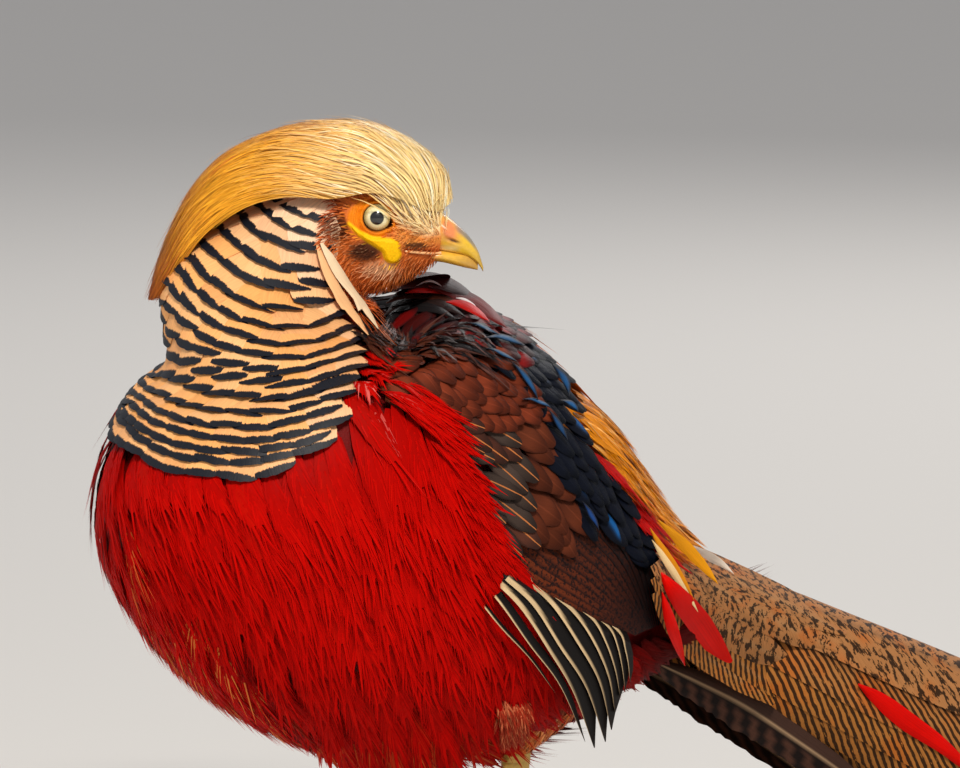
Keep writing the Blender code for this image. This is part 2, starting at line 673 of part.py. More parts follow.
# Each pair of tail feathers ends here. Each covers this many degrees, three steps of the next one.
TAIL_TIPS = (10.0, 8.0, 6.4, 5.5, 4.5, 3.6)
TAIL_TOP_DEG, TAIL_STEP_DEG = 0.8, 21.0
TAIL_LAYER = 2.7
TAIL_PLACES = np.array([0.6, 1.3, 2.0, 2.9, 3.9, TAIL_CUT])
TAIL_END_PLACES = np.array([TAIL_CUT + 0.006, 5.6, 6.4, 7.3, 8.2, 9.2, 10.0])


def tail_point(place, degrees, out=0.0):
    """A point of the tail's roof-like outline, never below the floor."""
    row = curve(TAIL_OUTLINE, place)
    angle = np.radians(degrees)
    half_y, half_z = (row[..., 0] - row[..., 2]) / 2, (row[..., 1] - row[..., 3]) / 2
    reach = np.hypot(row[..., 4] * np.sin(angle), np.hypot(half_y, half_z) * np.cos(angle))
    grow = 1 + np.asarray(out) / reach
    x = row[..., 4] * np.sin(angle) * grow
    y = (row[..., 0] + row[..., 2]) / 2 + half_y * np.cos(angle) * grow
    z = (row[..., 1] + row[..., 3]) / 2 + half_z * np.cos(angle) * grow
    return np.stack(np.broadcast_arrays(x, y, z), axis=-1)


def tail_feather(side, pair, place, rooted):
    """A stretch of one tail feather, under its upper neighbour and over its lower one."""
    tip = TAIL_TIPS[pair]
    sides = along(-1.0, 1.0, 4)
    middle = TAIL_TOP_DEG + TAIL_STEP_DEG * (pair + 1.5)
    spread = 1.5 * TAIL_STEP_DEG * sides * (1.0 + 0.3 * smooth(5.0, 7.0, place))[:, None]
    narrow = np.interp(place, (tip - 1.4, tip - 0.6, tip), (1.0, 0.75, 0.12))[:, None]
    middle = middle + 9.0 * smooth(5.0, 7.0, place)[:, None]
    degrees = side * (middle + spread * narrow)
    sink = -7.4 + 6.0 * smooth(0.6, 2.0, place) if rooted else -1.4 + 0.0 * place
    layer = TAIL_LAYER * (1.0 - 0.55 * smooth(5.0, 8.0, place))
    drop = layer * (0.3 if pair == 0 else 1.0)
    out = (sink + layer / 2)[:, None] - drop[:, None] * (1.0 - sides) / 2
    at = place[:, None] + 0 * sides
    low_face, high_face = tail_point(at, degrees, out - 0.3), tail_point(at, degrees, out + 0.3)
    low_face[..., 2] = np.maximum(low_face[..., 2], 0.0)
    high_face[..., 2] = np.maximum(high_face[..., 2], 0.6)
    return slab(low_face, high_face)


def tail_block(start, end, depth, end_depth):
    """The hidden root that the tail feathers grow from, or are gathered on."""
    half = TAIL_TOP_DEG + TAIL_STEP_DEG * np.arange(9)
    turns = np.concatenate([half, -half[::-1]])
    rings = []
    for place, inward in zip(along(start, end, 4), along(depth, end_depth, 4)):
        ring = tail_point(np.full(len(turns), place), turns, -inward)
        ring[:, 2] = np.maximum(ring[:, 2], 0.3)
        rings.append(ring)
    return loft(np.array(rings))


def make_tail():
    """The tail in two lengths, down to the floor and along it, with its coverts."""
    base = [tail_block(0.0, 2.2, 3.4, 9.0)]
    end = [tail_block(TAIL_CUT + 0.006, TAIL_CUT + 0.5, 0.1, 5.0)]
    for pair, tip in enumerate(TAIL_TIPS):
        for side in (1, -1):
            base.append(tail_feather(side, pair, TAIL_PLACES[TAIL_PLACES <= tip], True))
            if tip > TAIL_CUT:
                end.append(tail_feather(side, pair, TAIL_END_PLACES[TAIL_END_PLACES <= tip], False))
    build("tail_base", "tail_feathers", base)
    build("tail_end", "tail_feathers", end)
    make_coverts()


TAIL_COVERT_WIDTH, TAIL_COVERT_LIFT = (4.0, 8.0, 8.5, 6.0, 1.0), (-1.6, 0.9, 1.5, 1.8, 1.9)
# Long scarlet coverts: angle where they start and end, and how far back they reach.
COVERTS = (
    (15.0, 16.0, 2.2),
    (42.0, 50.0, 2.6),
    (67.0, 92.0, 3.2),
    (92.0, 118.0, 2.8),
    (118.0, 138.0, 2.0),
    (144.0, 158.0, 1.5),
)


def make_coverts():
    """Lance-shaped feathers over the root of the tail, from a thin collar."""
    degrees = along(0.0, 340.0, 18)
    corners = ((0.04, -2.9), (0.6, -2.9), (0.6, 0.2), (0.04, 0.2))
    rings = np.stack([tail_point(np.full(18, place), degrees, out) for place, out in corners], axis=1)
    pieces = [hoop(rings)]
    for start, end, tip in COVERTS:
        for side in (1, -1):
            place = along(0.3, tip, 5)
            degrees = side * along(start, end, 5)
            pieces.append(vane(tail_point, place, degrees, TAIL_COVERT_WIDTH, TAIL_COVERT_LIFT, thick=0.7))
    build("tail_coverts", "scarlet_feathers", pieces)


# Feathered thigh: height, middle (x, y) of the left one, half depth and half width.
THIGH = (
    (112.0, 30.0, 8.0, 14.0, 10.0),
    (100.0, 31.0, 6.0, 25.0, 18.0),
    (86.0, 30.0, 3.0, 24.0, 17.0),
    (76.0, 28.5, 1.0, 19.0, 13.0),
    (69.0, 26.5, -0.5, 12.0, 8.5),
    (THIGH_LOW_Z, LEG_SPREAD, ANKLE_Y, 6.5, 5.5),
)
# Bare leg: height and radius.
LEG = (
    (THIGH_LOW_Z - GAP, 4.4),
    (60.0, 4.8),
    (54.0, 4.0),
    (40.0, 3.4),
    (22.0, 3.4),
    (13.0, 4.2),
    (8.0, 4.2),
)
SPUR_Z, SPUR_LENGTH = 26.0, 9.0


def upright(centre, half_x, half_y, z):
    """A level ring of points."""
    turns = np.radians(np.arange(12) * 30.0)
    return [[centre[0] + half_x * math.cos(t), centre[1] + half_y * math.sin(t), z] for t in turns]


def make_legs():
    """Feathered thighs, bare legs with a spur, toes and claws."""
    for side, tag in ((1, "left"), (-1, "right")):
        thigh = [upright((side * x, y), half_x, half_y, z) for z, x, y, half_y, half_x in THIGH[::-1]]
        build(f"thigh_{tag}", "rusty_feathers", [loft(np.array(thigh))], [torso_shape(grow=GAP)])
        leg = []
        for z, radius in LEG:
            y = ANKLE_Y + (FOOT_Y - ANKLE_Y) * (THIGH_LOW_Z - z) / THIGH_LOW_Z
            leg.append(upright((side * LEG_SPREAD, y), radius * 0.85, radius, z))
        base = np.array([side * (LEG_SPREAD - 1.5), FOOT_Y + 2.5, SPUR_Z])
        spur = cone(base, base + [-side * 2.5, SPUR_LENGTH, 1.5], 2.0)
        build(f"leg_{tag}", "leg_scales", [loft(np.array(leg)), spur])
        foot(side, tag)


def cone(start, end, radius, sides=8, tip=0.35):
    """A tapering rod between two points."""
    start, end = np.asarray(start, float), np.asarray(end, float)
    axis = (end - start) / np.linalg.norm(end - start)
    across = np.cross(axis, UP if abs(axis[2]) < 0.9 else [1.0, 0, 0])
    across /= np.linalg.norm(across)
    other = np.cross(axis, across)
    turns = np.radians(np.arange(sides) * 360.0 / sides)
    circle = np.cos(turns)[:, None] * across + np.sin(turns)[:, None] * other
    middle = (start + end) / 2
    rings = [start + circle * radius, middle + circle * radius * 0.7, end + circle * radius * tip]
    return loft(np.array(rings))


# Toe: its heading from straight ahead, positive away from the other leg, and its length.
TOES = {"middle": (4.0, 43.0), "inner": (-34.0, 32.0), "outer": (40.0, 34.0), "hind": (172.0, 15.0)}
CLAW_LENGTH, CLAW_RADIUS, CLAW_HEIGHT = 9.0, 1.9, 2.4
# Middle of the foot, under the leg: height and radius.
FOOT_PAD = ((-1.0, 5.0), (3.0, 5.4), (8.0 - GAP, 4.4))


def level_rod(start, ahead, stations, sides):
    """A rod that runs level: how far along, how high and how thick at each station."""
    across = np.cross(ahead, UP)
    turns = np.radians(np.arange(sides) * 360.0 / sides)
    circle = np.cos(turns)[:, None] * across + np.sin(turns)[:, None] * UP
    return loft(np.array([start + ahead * far + UP * up + circle * radius for far, up, radius in stations]))


def foot(side, tag):
    """Four toes fused under the leg, flat beneath, and a separate claw on each."""
    centre = np.array([side * LEG_SPREAD, FOOT_Y, 0.0])
    pieces = [loft(np.array([upright(centre, radius, radius, z) for z, radius in FOOT_PAD]))]
    for toe, (heading, length) in TOES.items():
        angle = math.radians(heading)
        ahead = np.array([side * math.sin(angle), -math.cos(angle), 0.0])
        stations = []
        for share in np.linspace(0, 1, 5):
            radius = TOE_RADIUS * (1.05 - 0.35 * share) * (1 + 0.08 * math.cos(share * 8 * math.pi))
            stations.append((length * share, radius * 0.72, radius))
        pieces.append(level_rod(centre, ahead, stations, 7))
        claw = []
        for share in (0.0, 0.5, 1.0):
            up = CLAW_HEIGHT + 0.6 * math.sin(share * math.pi) - 1.2 * share
            claw.append((length + GAP + CLAW_LENGTH * share, up, CLAW_RADIUS * (1 - 0.85 * share)))
        build(f"claw_{tag}_{toe}", "claw_horn", [level_rod(centre, ahead, claw, 6)])
    ground = [[centre + (x, y, z) for x, y in ((-80, -80), (80, -80), (80, 80), (-80, 80))] for z in (-10, 0)]
    build(f"foot_{tag}", "leg_scales", pieces, [loft(np.array(ground))])


def settle():
    """Set the origin on the floor under the middle of the whole bird."""
    made = [thing for thing in bpy.data.objects if thing.type == "MESH"]
    corners = np.array([vertex.co for thing in made for vertex in thing.data.vertices])
    low, high = corners.min(axis=0), corners.max(axis=0)
    for thing in made:
        thing.location = (-(low[0] + high[0]) / 2, -(low[1] + high[1]) / 2, -low[2])


def main():
    for thing in list(bpy.data.objects):
        bpy.data.objects.remove(thing)
    build("torso", "red_feathers", [torso_shape()])
    build("neck", "rusty_feathers", [neck_shape()])
    make_head()
    make_bill()
    make_crest()
    make_cape()
    make_wing("wing_left", 1)
    make_wing("wing_right", -1)
    make_tail()
    make_legs()
    settle()


main()
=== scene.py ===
"""Looks of the golden pheasant: skin, eyes, bill, legs and every coat of feathers over its solids.

All lengths in this script are millimetres on the bird's own axes, with the floor at z = 0. The
bird faces -Y with its left side at +X, and looks back over its left shoulder. Its outline is one
curved tube from the bill to the tail: a place runs along it, and an angle runs round it from the
back over the bird's left side.
"""
import math

import bmesh
import bpy
import numpy as np
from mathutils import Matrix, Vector


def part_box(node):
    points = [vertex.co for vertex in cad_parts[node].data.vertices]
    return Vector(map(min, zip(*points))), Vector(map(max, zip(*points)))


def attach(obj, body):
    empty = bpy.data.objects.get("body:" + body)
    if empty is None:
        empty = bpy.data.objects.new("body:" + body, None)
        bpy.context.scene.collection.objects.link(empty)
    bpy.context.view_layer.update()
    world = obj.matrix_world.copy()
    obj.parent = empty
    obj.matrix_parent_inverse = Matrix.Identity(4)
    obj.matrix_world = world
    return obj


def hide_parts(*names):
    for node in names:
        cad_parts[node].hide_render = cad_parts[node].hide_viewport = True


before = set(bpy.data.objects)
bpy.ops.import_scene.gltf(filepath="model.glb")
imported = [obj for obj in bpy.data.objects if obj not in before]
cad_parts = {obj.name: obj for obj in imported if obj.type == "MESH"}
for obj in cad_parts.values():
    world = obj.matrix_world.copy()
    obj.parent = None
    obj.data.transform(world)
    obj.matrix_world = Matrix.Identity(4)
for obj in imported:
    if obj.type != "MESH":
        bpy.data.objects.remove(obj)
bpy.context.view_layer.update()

MM = 0.001
FLOOR_GAP, WELD_GAP = 0.0003, 0.00001
TAIL_TIP_Y = 820.0
SHIFT = np.array([0.0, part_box("tail_end")[1].y / MM - TAIL_TIP_Y, 0.0])

# The head, turned back over the left shoulder, with its eyes on its side axis.
HEAD_TURN = math.radians(142.0)
HEAD_CENTRE = np.array([4.0, -40.0, 236.4])
HEAD_FORWARD = np.array([math.sin(HEAD_TURN), -math.cos(HEAD_TURN), 0.0])
HEAD_RIGHT = np.array([HEAD_FORWARD[1], -HEAD_FORWARD[0], 0.0])
UP = np.array([0.0, 0.0, 1.0])
NAPE_DEG = 218.0
EYE_RADIUS, EYE_ASIDE = 5.2, 7.3

# Head and neck outline: top (forward, up), bottom (forward, up), half width.
HEAD_OUTLINE = (
    (21.5, 0.5, 19.5, -14.0, 5.5),
    (17.5, 6.5, 15.5, -17.5, 8.5),
    (11.0, 11.0, 10.0, -20.5, 10.7),
    (3.0, 13.5, 4.0, -23.5, 12.0),
    (-9.0, 15.0, -1.0, -25.0, 12.8),
    (-23.0, 13.0, -5.0, -26.0, 13.2),
    (-55.0, -5.0, -1.5, -28.5, 24.0),
    (-69.0, -21.0, 0.5, -31.5, 33.0),
)
# Torso outline: back (y, z), breast or belly (y, z), half width.
TORSO_OUTLINE = (
    (-41.0, 200.5, -109.0, 189.0, 44.0),
    (-26.0, 205.0, -124.0, 177.0, 50.0),
    (-10.0, 208.0, -135.0, 158.0, 56.0),
    (8.0, 201.0, -136.0, 134.0, 62.0),
    (26.0, 188.0, -122.0, 109.0, 65.0),
    (43.0, 171.0, -97.0, 85.0, 65.0),
    (57.0, 153.0, -66.0, 68.0, 62.0),
    (68.0, 139.0, -34.0, 61.0, 57.0),
    (78.0, 129.0, 2.0, 64.0, 50.0),
    (86.0, 122.0, 34.0, 74.0, 42.0),
    (93.0, 116.0, 60.0, 84.0, 32.0),
    (99.0, 112.0, 80.0, 92.0, 19.0),
)
HEAD_END, TORSO_END = 5.0, 19.0
# Crest: ridge (forward, up), lower edge (forward, up), half width, thickness over the flesh.
CREST_OUTLINE = (
    (25.7, 5.4, 22.0, 0.0, 6.0, 4.0),
    (20.5, 16.0, 15.0, 1.5, 12.0, 9.0),
    (10.0, 24.5, 8.0, 5.0, 15.5, 13.0),
    (-3.0, 29.6, -2.0, 7.0, 17.0, 15.0),
    (-18.0, 30.0, -14.0, 5.0, 17.0, 15.0),
    (-33.0, 26.8, -27.0, 6.0, 16.5, 13.0),
    (-48.0, 19.7, -39.0, 4.0, 16.0, 11.0),
    (-58.5, 9.0, -49.0, -1.0, 15.0, 9.0),
    (-65.5, -4.0, -57.0, -8.0, 12.5, 7.0),
    (-70.0, -16.0, -63.5, -17.5, 9.0, 5.0),
    (-72.5, -27.0, -70.0, -27.0, 3.0, 2.5),
)
# Tail: top (y, z), low edge (y, z), half width.
TAIL_OUTLINE = (
    (99.2, 111.8, 80.2, 91.8, 19.0),
    (110.0, 112.0, 92.0, 70.0, 20.0),
    (140.0, 99.0, 126.0, 50.0, 22.0),
    (200.0, 75.0, 192.0, 16.0, 23.0),
    (255.0, 52.0, 250.0, 0.0, 23.0),
    (310.0, 32.0, 310.0, -10.0, 23.0),
    (375.0, 19.0, 375.0, -14.0, 23.0),
    (460.0, 12.0, 460.0, -11.0, 22.0),
    (570.0, 9.5, 570.0, -8.5, 19.0),
    (700.0, 7.0, 700.0, -6.0, 13.0),
    (820.0, 3.0, 820.0, -2.0, 2.0),
)

# Depths of the cape, the wings and the coat over the flesh, and where the folded wings lie.
CAPE_DEPTH = 6.6
WING_DEPTH, WING_START, WING_END = 8.4, 8.8, 16.0
WING_PLACES = (8.8, 11.0, 12.4, 13.0, 14.0, 15.0, 16.0)
WING_TOP_EDGE = (20.0, 7.0, 12.0, 32.0, 47.0, 62.0, 78.0)
# Angles of the cape's edges, and how far down its lowest feathers reach at angles round the neck.
CAPE_EDGE_PLACES = (4.8, 5.5, 6.0, 6.6, 7.3, 7.7, 8.0, 8.5, 9.0, 9.5, 10.2)
CAPE_LEFT_EDGE = (116.0, 98.0, 86.0, 77.0, 70.0, 78.0, 88.0, 96.0, 101.0, 107.0, 114.0)
CAPE_RIGHT_EDGE = (322.0, 330.0, 336.0, 330.0, 318.0, 305.0, 290.0, 272.0, 262.0, 256.0, 250.0)
CAPE_LOW_DEGREES = (100.0, 112.0, 126.0, 142.0, 160.0, 180.0, 205.0, 260.0)
CAPE_LOW_PLACES = (9.3, 9.9, 10.3, 10.1, 9.8, 9.6, 9.3, 8.9)
BODY_COAT, HEAD_COAT = 4.0, 0.6

SIDES = {"left": 1, "right": -1}
LEG_SPREAD, ANKLE_Y, FOOT_Y, THIGH_LOW_Z = 25.6, -1.0, -8.0, 65.0
# The photograph's view, and the pixel of its frame that the point between the feet comes to.
CAMERA_DEG, CAMERA_UP_DEG, CAMERA_AWAY = 52.0, 7.0, 2400.0
PIXELS_PER_MM = 3.1
FEET_PIXEL = (470.0, 935.0)
FRAME_WIDTH, FRAME_HEIGHT = 960.0, 768.0


def srgb(red, green, blue):
    """A colour as linear light, from the 0 to 255 of a screen."""
    value = np.array([red, green, blue]) / 255.0
    return tuple(np.where(value <= 0.04045, value / 12.92, ((value + 0.055) / 1.055) ** 2.4))


SCARLET = srgb(178, 5, 1)
BRIGHT_RED = srgb(208, 22, 5)
DEEP_RED = srgb(104, 3, 1)
GOLD = srgb(232, 160, 40)
PALE_GOLD = srgb(246, 214, 146)
AMBER = srgb(172, 92, 28)
ORANGE_GOLD = srgb(226, 136, 6)
CAPE_ORANGE = srgb(234, 162, 90)
CAPE_PALE = srgb(244, 204, 158)
BLUE_BLACK = srgb(13, 16, 26)
CHESTNUT = srgb(108, 45, 26)
MAROON = srgb(118, 14, 14)
BLACK = srgb(20, 19, 21)
CREAM = srgb(214, 184, 140)
COBALT_HIGHLIGHT = srgb(22, 92, 158)
MANTLE_GREEN = srgb(24, 66, 50)
CINNAMON = srgb(168, 114, 68)
BUFF = srgb(168, 108, 50)
RUST = srgb(206, 106, 46)
FACE_ORANGE = srgb(232, 128, 14)
FACE_DARK = srgb(66, 36, 24)
LAPPET_YELLOW = srgb(248, 190, 8)
LEG_YELLOW = srgb(214, 172, 78)
TEMPLE_RUST = srgb(158, 66, 34)
CHIN_CREAM = srgb(226, 178, 136)
MUZZLE_ORANGE = srgb(230, 146, 66)
MOUTH_BROWN = srgb(60, 34, 24)
BROW_GOLD = srgb(243, 212, 158)
SOCKET_ORANGE = srgb(200, 96, 12)
LID_BROWN = srgb(70, 30, 14)
UNDER_MANTLE = srgb(40, 16, 14)
THROAT_RUST = srgb(206, 84, 24)
BRISTLE_CREAM = srgb(240, 200, 150)
IRIS_PALE = srgb(238, 230, 180)
IRIS_YELLOW = srgb(216, 202, 132)
PUPIL_BLACK = srgb(6, 5, 5)
IRIS_RIM = srgb(40, 22, 14)
EYE_BACK = srgb(30, 16, 12)
HORN_YELLOW = srgb(228, 184, 50)
HORN_TIP = srgb(200, 160, 60)
CULMEN_GREY = srgb(112, 112, 112)
NOSTRIL_PINK = srgb(228, 136, 82)
NOSTRIL_SHADOW = srgb(80, 36, 20)
EDGE_CREAM = srgb(246, 224, 160)
BILL_ROOT = srgb(226, 132, 66)
LOWER_HORN = srgb(222, 172, 60)
LOWER_TIP = srgb(192, 146, 62)
LOWER_ROOT = srgb(216, 130, 74)
GAPE_PINK = srgb(240, 178, 120)
NAPE_BROWN = srgb(128, 58, 18)
CREST_RUST = srgb(186, 84, 26)
CREST_HIGHLIGHT_WHITE = srgb(255, 244, 216)
CAPE_EDGE_SHEEN = srgb(240, 214, 190)
CAPE_RUST = srgb(206, 122, 62)
CAPE_TOP_PALE = srgb(240, 206, 176)
CAPE_CREAM = srgb(226, 198, 162)
BREAST_GOLD_HIGHLIGHT = srgb(222, 140, 66)
PAINTED_SHEEN_PINK = srgb(250, 176, 164)
VENT_RED = srgb(60, 3, 2)
NECK_RUST = srgb(206, 92, 30)
MANTLE_MAROON = srgb(60, 14, 12)
HAIR_BLACK = srgb(26, 23, 24)
HAIR_GREY_HIGHLIGHT = srgb(104, 98, 98)
HAIR_BROWN = srgb(84, 40, 26)
SHAFTED_RIM = srgb(30, 22, 20)
SHAFT_ORANGE = srgb(188, 112, 60)
CHESTNUT_RIM = srgb(36, 15, 10)
NAVY_RIM = srgb(6, 7, 10)
LOW_SECONDARY = srgb(104, 46, 24)
HIGH_SECONDARY = srgb(24, 18, 18)
MOTTLED_BROWN = srgb(100, 46, 26)
MOTTLED_DARK = srgb(40, 24, 20)
SHAFTED_GREY = srgb(66, 54, 48)
SHOULDER_BROWN = srgb(40, 18, 15)
SHOULDER_RED = srgb(176, 16, 12)
PRIMARY_DARK = srgb(19, 16, 15)
PRIMARY_TIP = srgb(140, 112, 84)
TAIL_RUST = srgb(166, 84, 24)
TAIL_MARK = srgb(24, 16, 11)
TAIL_SEAM = srgb(120, 60, 20)
TAIL_SHAFT = srgb(128, 92, 62)
OUTER_DARK = srgb(26, 18, 16)
OUTER_BROWN = srgb(62, 42, 34)
OUTER_BAR = srgb(84, 54, 42)
OUTER_SHAFT = srgb(150, 122, 94)
COVERT_SHAFT = srgb(170, 128, 86)
COVERT_RED = srgb(206, 8, 2)
SHANK_BROWN = srgb(150, 110, 56)
SPUR_HORN = srgb(176, 150, 100)
TOE_BROWN = srgb(146, 108, 58)
CLAW_ROOT = srgb(120, 94, 66)
CLAW_TIP = srgb(58, 44, 34)
THIGH_CREAM = srgb(222, 170, 110)
TUFT_RED = srgb(150, 44, 24)
TUFT_PALE = srgb(186, 96, 62)


def curve(rows, place):
    """Rows of a table read at places along it, on a smooth curve through them."""
    rows = np.asarray(rows, float)
    place = np.asarray(place, float)
    first = np.clip(np.floor(place).astype(int), 0, len(rows) - 2)
    x = (place - first)[..., None]
    padded = np.vstack([2 * rows[0] - rows[1], rows, 2 * rows[-1] - rows[-2]])
    a, b, c, d = (padded[first + step] for step in range(4))
    return 0.5 * (2 * b + (c - a) * x + (2 * a - 5 * b + 4 * c - d) * x**2 + (3 * b - a - 3 * c + d) * x**3)


def smooth(low, high, value):
    """0 below low, 1 above high, and a smooth rise between them."""
    x = np.clip((np.asarray(value, float) - low) / (high - low), 0.0, 1.0)
    return x * x * (3 - 2 * x)


def mix(first, second, share):
    """Colours or numbers mixed by a share for each point."""
    share = np.asarray(share, float)[..., None]
    return np.asarray(first, float) * (1 - share) + np.asarray(second, float) * share


def unit(vectors):
    """Vectors at length one."""
    return vectors / np.maximum(np.linalg.norm(vectors, axis=-1, keepdims=True), 1e-9)


def head_point(forward, right, up):
    """A place given along the head's own axes."""
    forward, right, up = (np.asarray(v, float)[..., None] for v in (forward, right, up))
    return HEAD_CENTRE + forward * HEAD_FORWARD + right * HEAD_RIGHT + up * UP


def head_axes(points):
    """Points read along the head's own axes: forward, right and up."""
    away = points - HEAD_CENTRE
    return away @ HEAD_FORWARD, away @ HEAD_RIGHT, away @ UP


def head_ring(top_forward, top_up, low_forward, low_up, half_width):
    """Centre, back arm and left arm of a ring of the head or neck, turned with the head."""
    top = head_point(top_forward, 0, top_up)
    low = head_point(low_forward, 0, low_up)
    nape = (top - low) / 2
    side = HEAD_RIGHT * half_width
    turn = math.radians(NAPE_DEG)
    back = math.cos(turn) * nape + math.sin(turn) * side
    left = math.sin(turn) * nape - math.cos(turn) * side
    return np.concatenate([(top + low) / 2, back, left])


def torso_ring(back_y, back_z, low_y, low_z, half_width):
    """Centre, back arm and left arm of a ring of the torso."""
    back = np.array([0.0, back_y, back_z])
    low = np.array([0.0, low_y, low_z])
    return np.concatenate([(back + low) / 2, (back - low) / 2, [half_width, 0.0, 0.0]])


RINGS = np.array([head_ring(*row) for row in HEAD_OUTLINE] + [torso_ring(*row) for row in TORSO_OUTLINE])


def body(place, degrees):
    """A point of the bird's outline."""
    ring = curve(RINGS, place)
    angle = np.radians(degrees)
    high = np.cos(angle)[..., None] * ring[..., 3:6]
    aside = np.sin(angle)[..., None] * ring[..., 6:9]
    return ring[..., 0:3] + high + aside


def crest(place, degrees):
    """A point of the crest's arch, with its ridge at angle 0."""
    row = curve(CREST_OUTLINE, place)
    angle = np.radians(degrees)
    flat = row[..., 2:4] + (row[..., 0:2] - row[..., 2:4]) * np.cos(angle)[..., None]
    return head_point(flat[..., 0], -row[..., 4] * np.sin(angle), flat[..., 1])


def tail(place, degrees):
    """A point of the tail's roof-like outline."""
    row = curve(TAIL_OUTLINE, place)
    angle = np.radians(degrees)
    x = row[..., 4] * np.sin(angle)
    y = (row[..., 0] + row[..., 2]) / 2 + (row[..., 0] - row[..., 2]) / 2 * np.cos(angle)
    z = (row[..., 1] + row[..., 3]) / 2 + (row[..., 1] - row[..., 3]) / 2 * np.cos(angle)
    return np.stack(np.broadcast_arrays(x, y, z), axis=-1)


PLACE_STEP, DEGREE_STEP = 0.02, 1.0


def lie(surface, place, degrees):
    """A surface's point, its steps along and round it, and its outward normal."""
    along = surface(place + PLACE_STEP, degrees) - surface(place - PLACE_STEP, degrees)
    around = surface(place, degrees + DEGREE_STEP) - surface(place, degrees - DEGREE_STEP)
    along, around = along / (2 * PLACE_STEP), around / (2 * DEGREE_STEP)
    return surface(place, degrees), along, around, unit(np.cross(around, along))


def cape_edges(place):
    """Angles of the cape's near and far edges."""
    left = np.interp(place, CAPE_EDGE_PLACES, CAPE_LEFT_EDGE)
    return left, np.interp(place, CAPE_EDGE_PLACES, CAPE_RIGHT_EDGE)


def flesh_depth(place, degrees):
    """How far the skin lies inside the outline: the coat's depth, or the cape's or the wing's."""
    place, degrees = np.broadcast_arrays(np.asarray(place, float), np.mod(degrees, 360.0))
    left, right = cape_edges(place)
    cape = smooth(left - 6, left + 8, degrees) * (1 - smooth(right - 8, right + 6, degrees))
    low = np.interp(degrees, CAPE_LOW_DEGREES, CAPE_LOW_PLACES)
    cape = cape * (1 - smooth(low - 0.1, low + 0.5, place)) * smooth(4.3, 5.1, place)
    aside = np.minimum(degrees, 360.0 - degrees)
    wing = smooth(-10, 2, aside - np.interp(place, WING_PLACES, WING_TOP_EDGE)) * (1 - smooth(92, 102, aside))
    wing = wing * smooth(WING_START - 0.6, WING_START, place) * (1 - smooth(WING_END, WING_END + 0.6, place))
    coat = HEAD_COAT + (BODY_COAT - HEAD_COAT) * smooth(4.6, 6.5, place)
    return np.maximum(coat, np.maximum(CAPE_DEPTH * cape, WING_DEPTH * wing))


def view_axes():
    """The camera's place and its right, up and ahead directions, on the bird's axes."""
    turn, rise = math.radians(CAMERA_DEG), math.radians(CAMERA_UP_DEG)
    right = np.array([math.cos(turn), math.sin(turn), 0.0])
    ahead = np.array([-math.sin(turn) * math.cos(rise), math.cos(turn) * math.cos(rise), -math.sin(rise)])
    up = np.cross(right, ahead)
    aim = right * (FRAME_WIDTH / 2 - FEET_PIXEL[0]) / PIXELS_PER_MM
    aim = aim + up * (FEET_PIXEL[1] - FRAME_HEIGHT / 2) / PIXELS_PER_MM
    return aim - ahead * CAMERA_AWAY, right, up, ahead


def to_pixels(points):
    """Where points come to in the photograph's frame, and how far they are from the camera."""
    eye, right, up, ahead = view_axes()
    away = points - eye
    depth = away @ ahead
    scale = PIXELS_PER_MM * CAMERA_AWAY / depth
    return FRAME_WIDTH / 2 + scale * (away @ right), FRAME_HEIGHT / 2 - scale * (away @ up), depth


def from_pixels(spots, depth):
    """Points that come to pixels of the photograph's frame, at distances from the camera."""
    eye, right, up, ahead = view_axes()
    spots, depth = np.asarray(spots, float), np.asarray(depth, float)[..., None]
    reach = depth / (PIXELS_PER_MM * CAMERA_AWAY)
    aside = (spots[..., 0:1] - FRAME_WIDTH / 2) * reach * right
    return eye + depth * ahead + aside + (FRAME_HEIGHT / 2 - spots[..., 1:2]) * reach * up


# How finely a surface is searched for pixels, and how many cells a patch is split in for roots.
SEARCH_GRID, ROOT_CELLS = (220, 260), (40, 60)
# How much a surface has to face the camera to count as showing.
FACING = -0.08


def seen(surface, spots, places, degrees):
    """Places and angles at which a surface shows at pixels of the photograph's frame."""
    rows, columns = SEARCH_GRID
    p, d = np.meshgrid(np.linspace(*places, rows), np.linspace(*degrees, columns), indexing="ij")
    point, _, _, normal = lie(surface, p, d)
    x, y, _ = to_pixels(point)
    hidden = 1e6 * (normal @ view_axes()[3] > 0.0)
    x_p, x_d = np.gradient(x, p[:, 0], d[0])
    y_p, y_d = np.gradient(y, p[:, 0], d[0])
    spots = np.asarray(spots, float)
    found = []
    for spot in spots.reshape(-1, 2):
        miss = np.array([spot[0] - x, spot[1] - y])
        best = np.unravel_index(np.argmin(miss[0] ** 2 + miss[1] ** 2 + hidden), x.shape)
        slope = np.array([[x_p[best], x_d[best]], [y_p[best], y_d[best]]])
        step = np.linalg.solve(slope, miss[:, best[0], best[1]])
        found.append((p[best] + np.clip(step[0], -0.1, 0.1), d[best] + np.clip(step[1], -1.5, 1.5)))
    found = np.array(found).reshape(spots.shape)
    return found[..., 0], found[..., 1]


def inside(x, y, outline):
    """Whether pixels lie within an outline given by its corners."""
    outline = np.asarray(outline, float)
    result = np.zeros(np.shape(x), bool)
    for (x1, y1), (x2, y2) in zip(outline, np.roll(outline, -1, axis=0)):
        crosses = (y1 > y) != (y2 > y)
        result ^= crosses & (x < (x2 - x1) * (y - y1) / (y2 - y1 + 1e-9) + x1)
    return result


def line_x(line, y):
    """Where a line of pixels lies across the frame at heights in it."""
    return np.interp(y, *np.array(line).T[::-1])


def left_pixels(points):
    """Where points of the torso come to in the frame, those of its right side as their mirror image."""
    return to_pixels(np.abs(points * (1, 0, 0)) + points * (0, 1, 1))[:2]


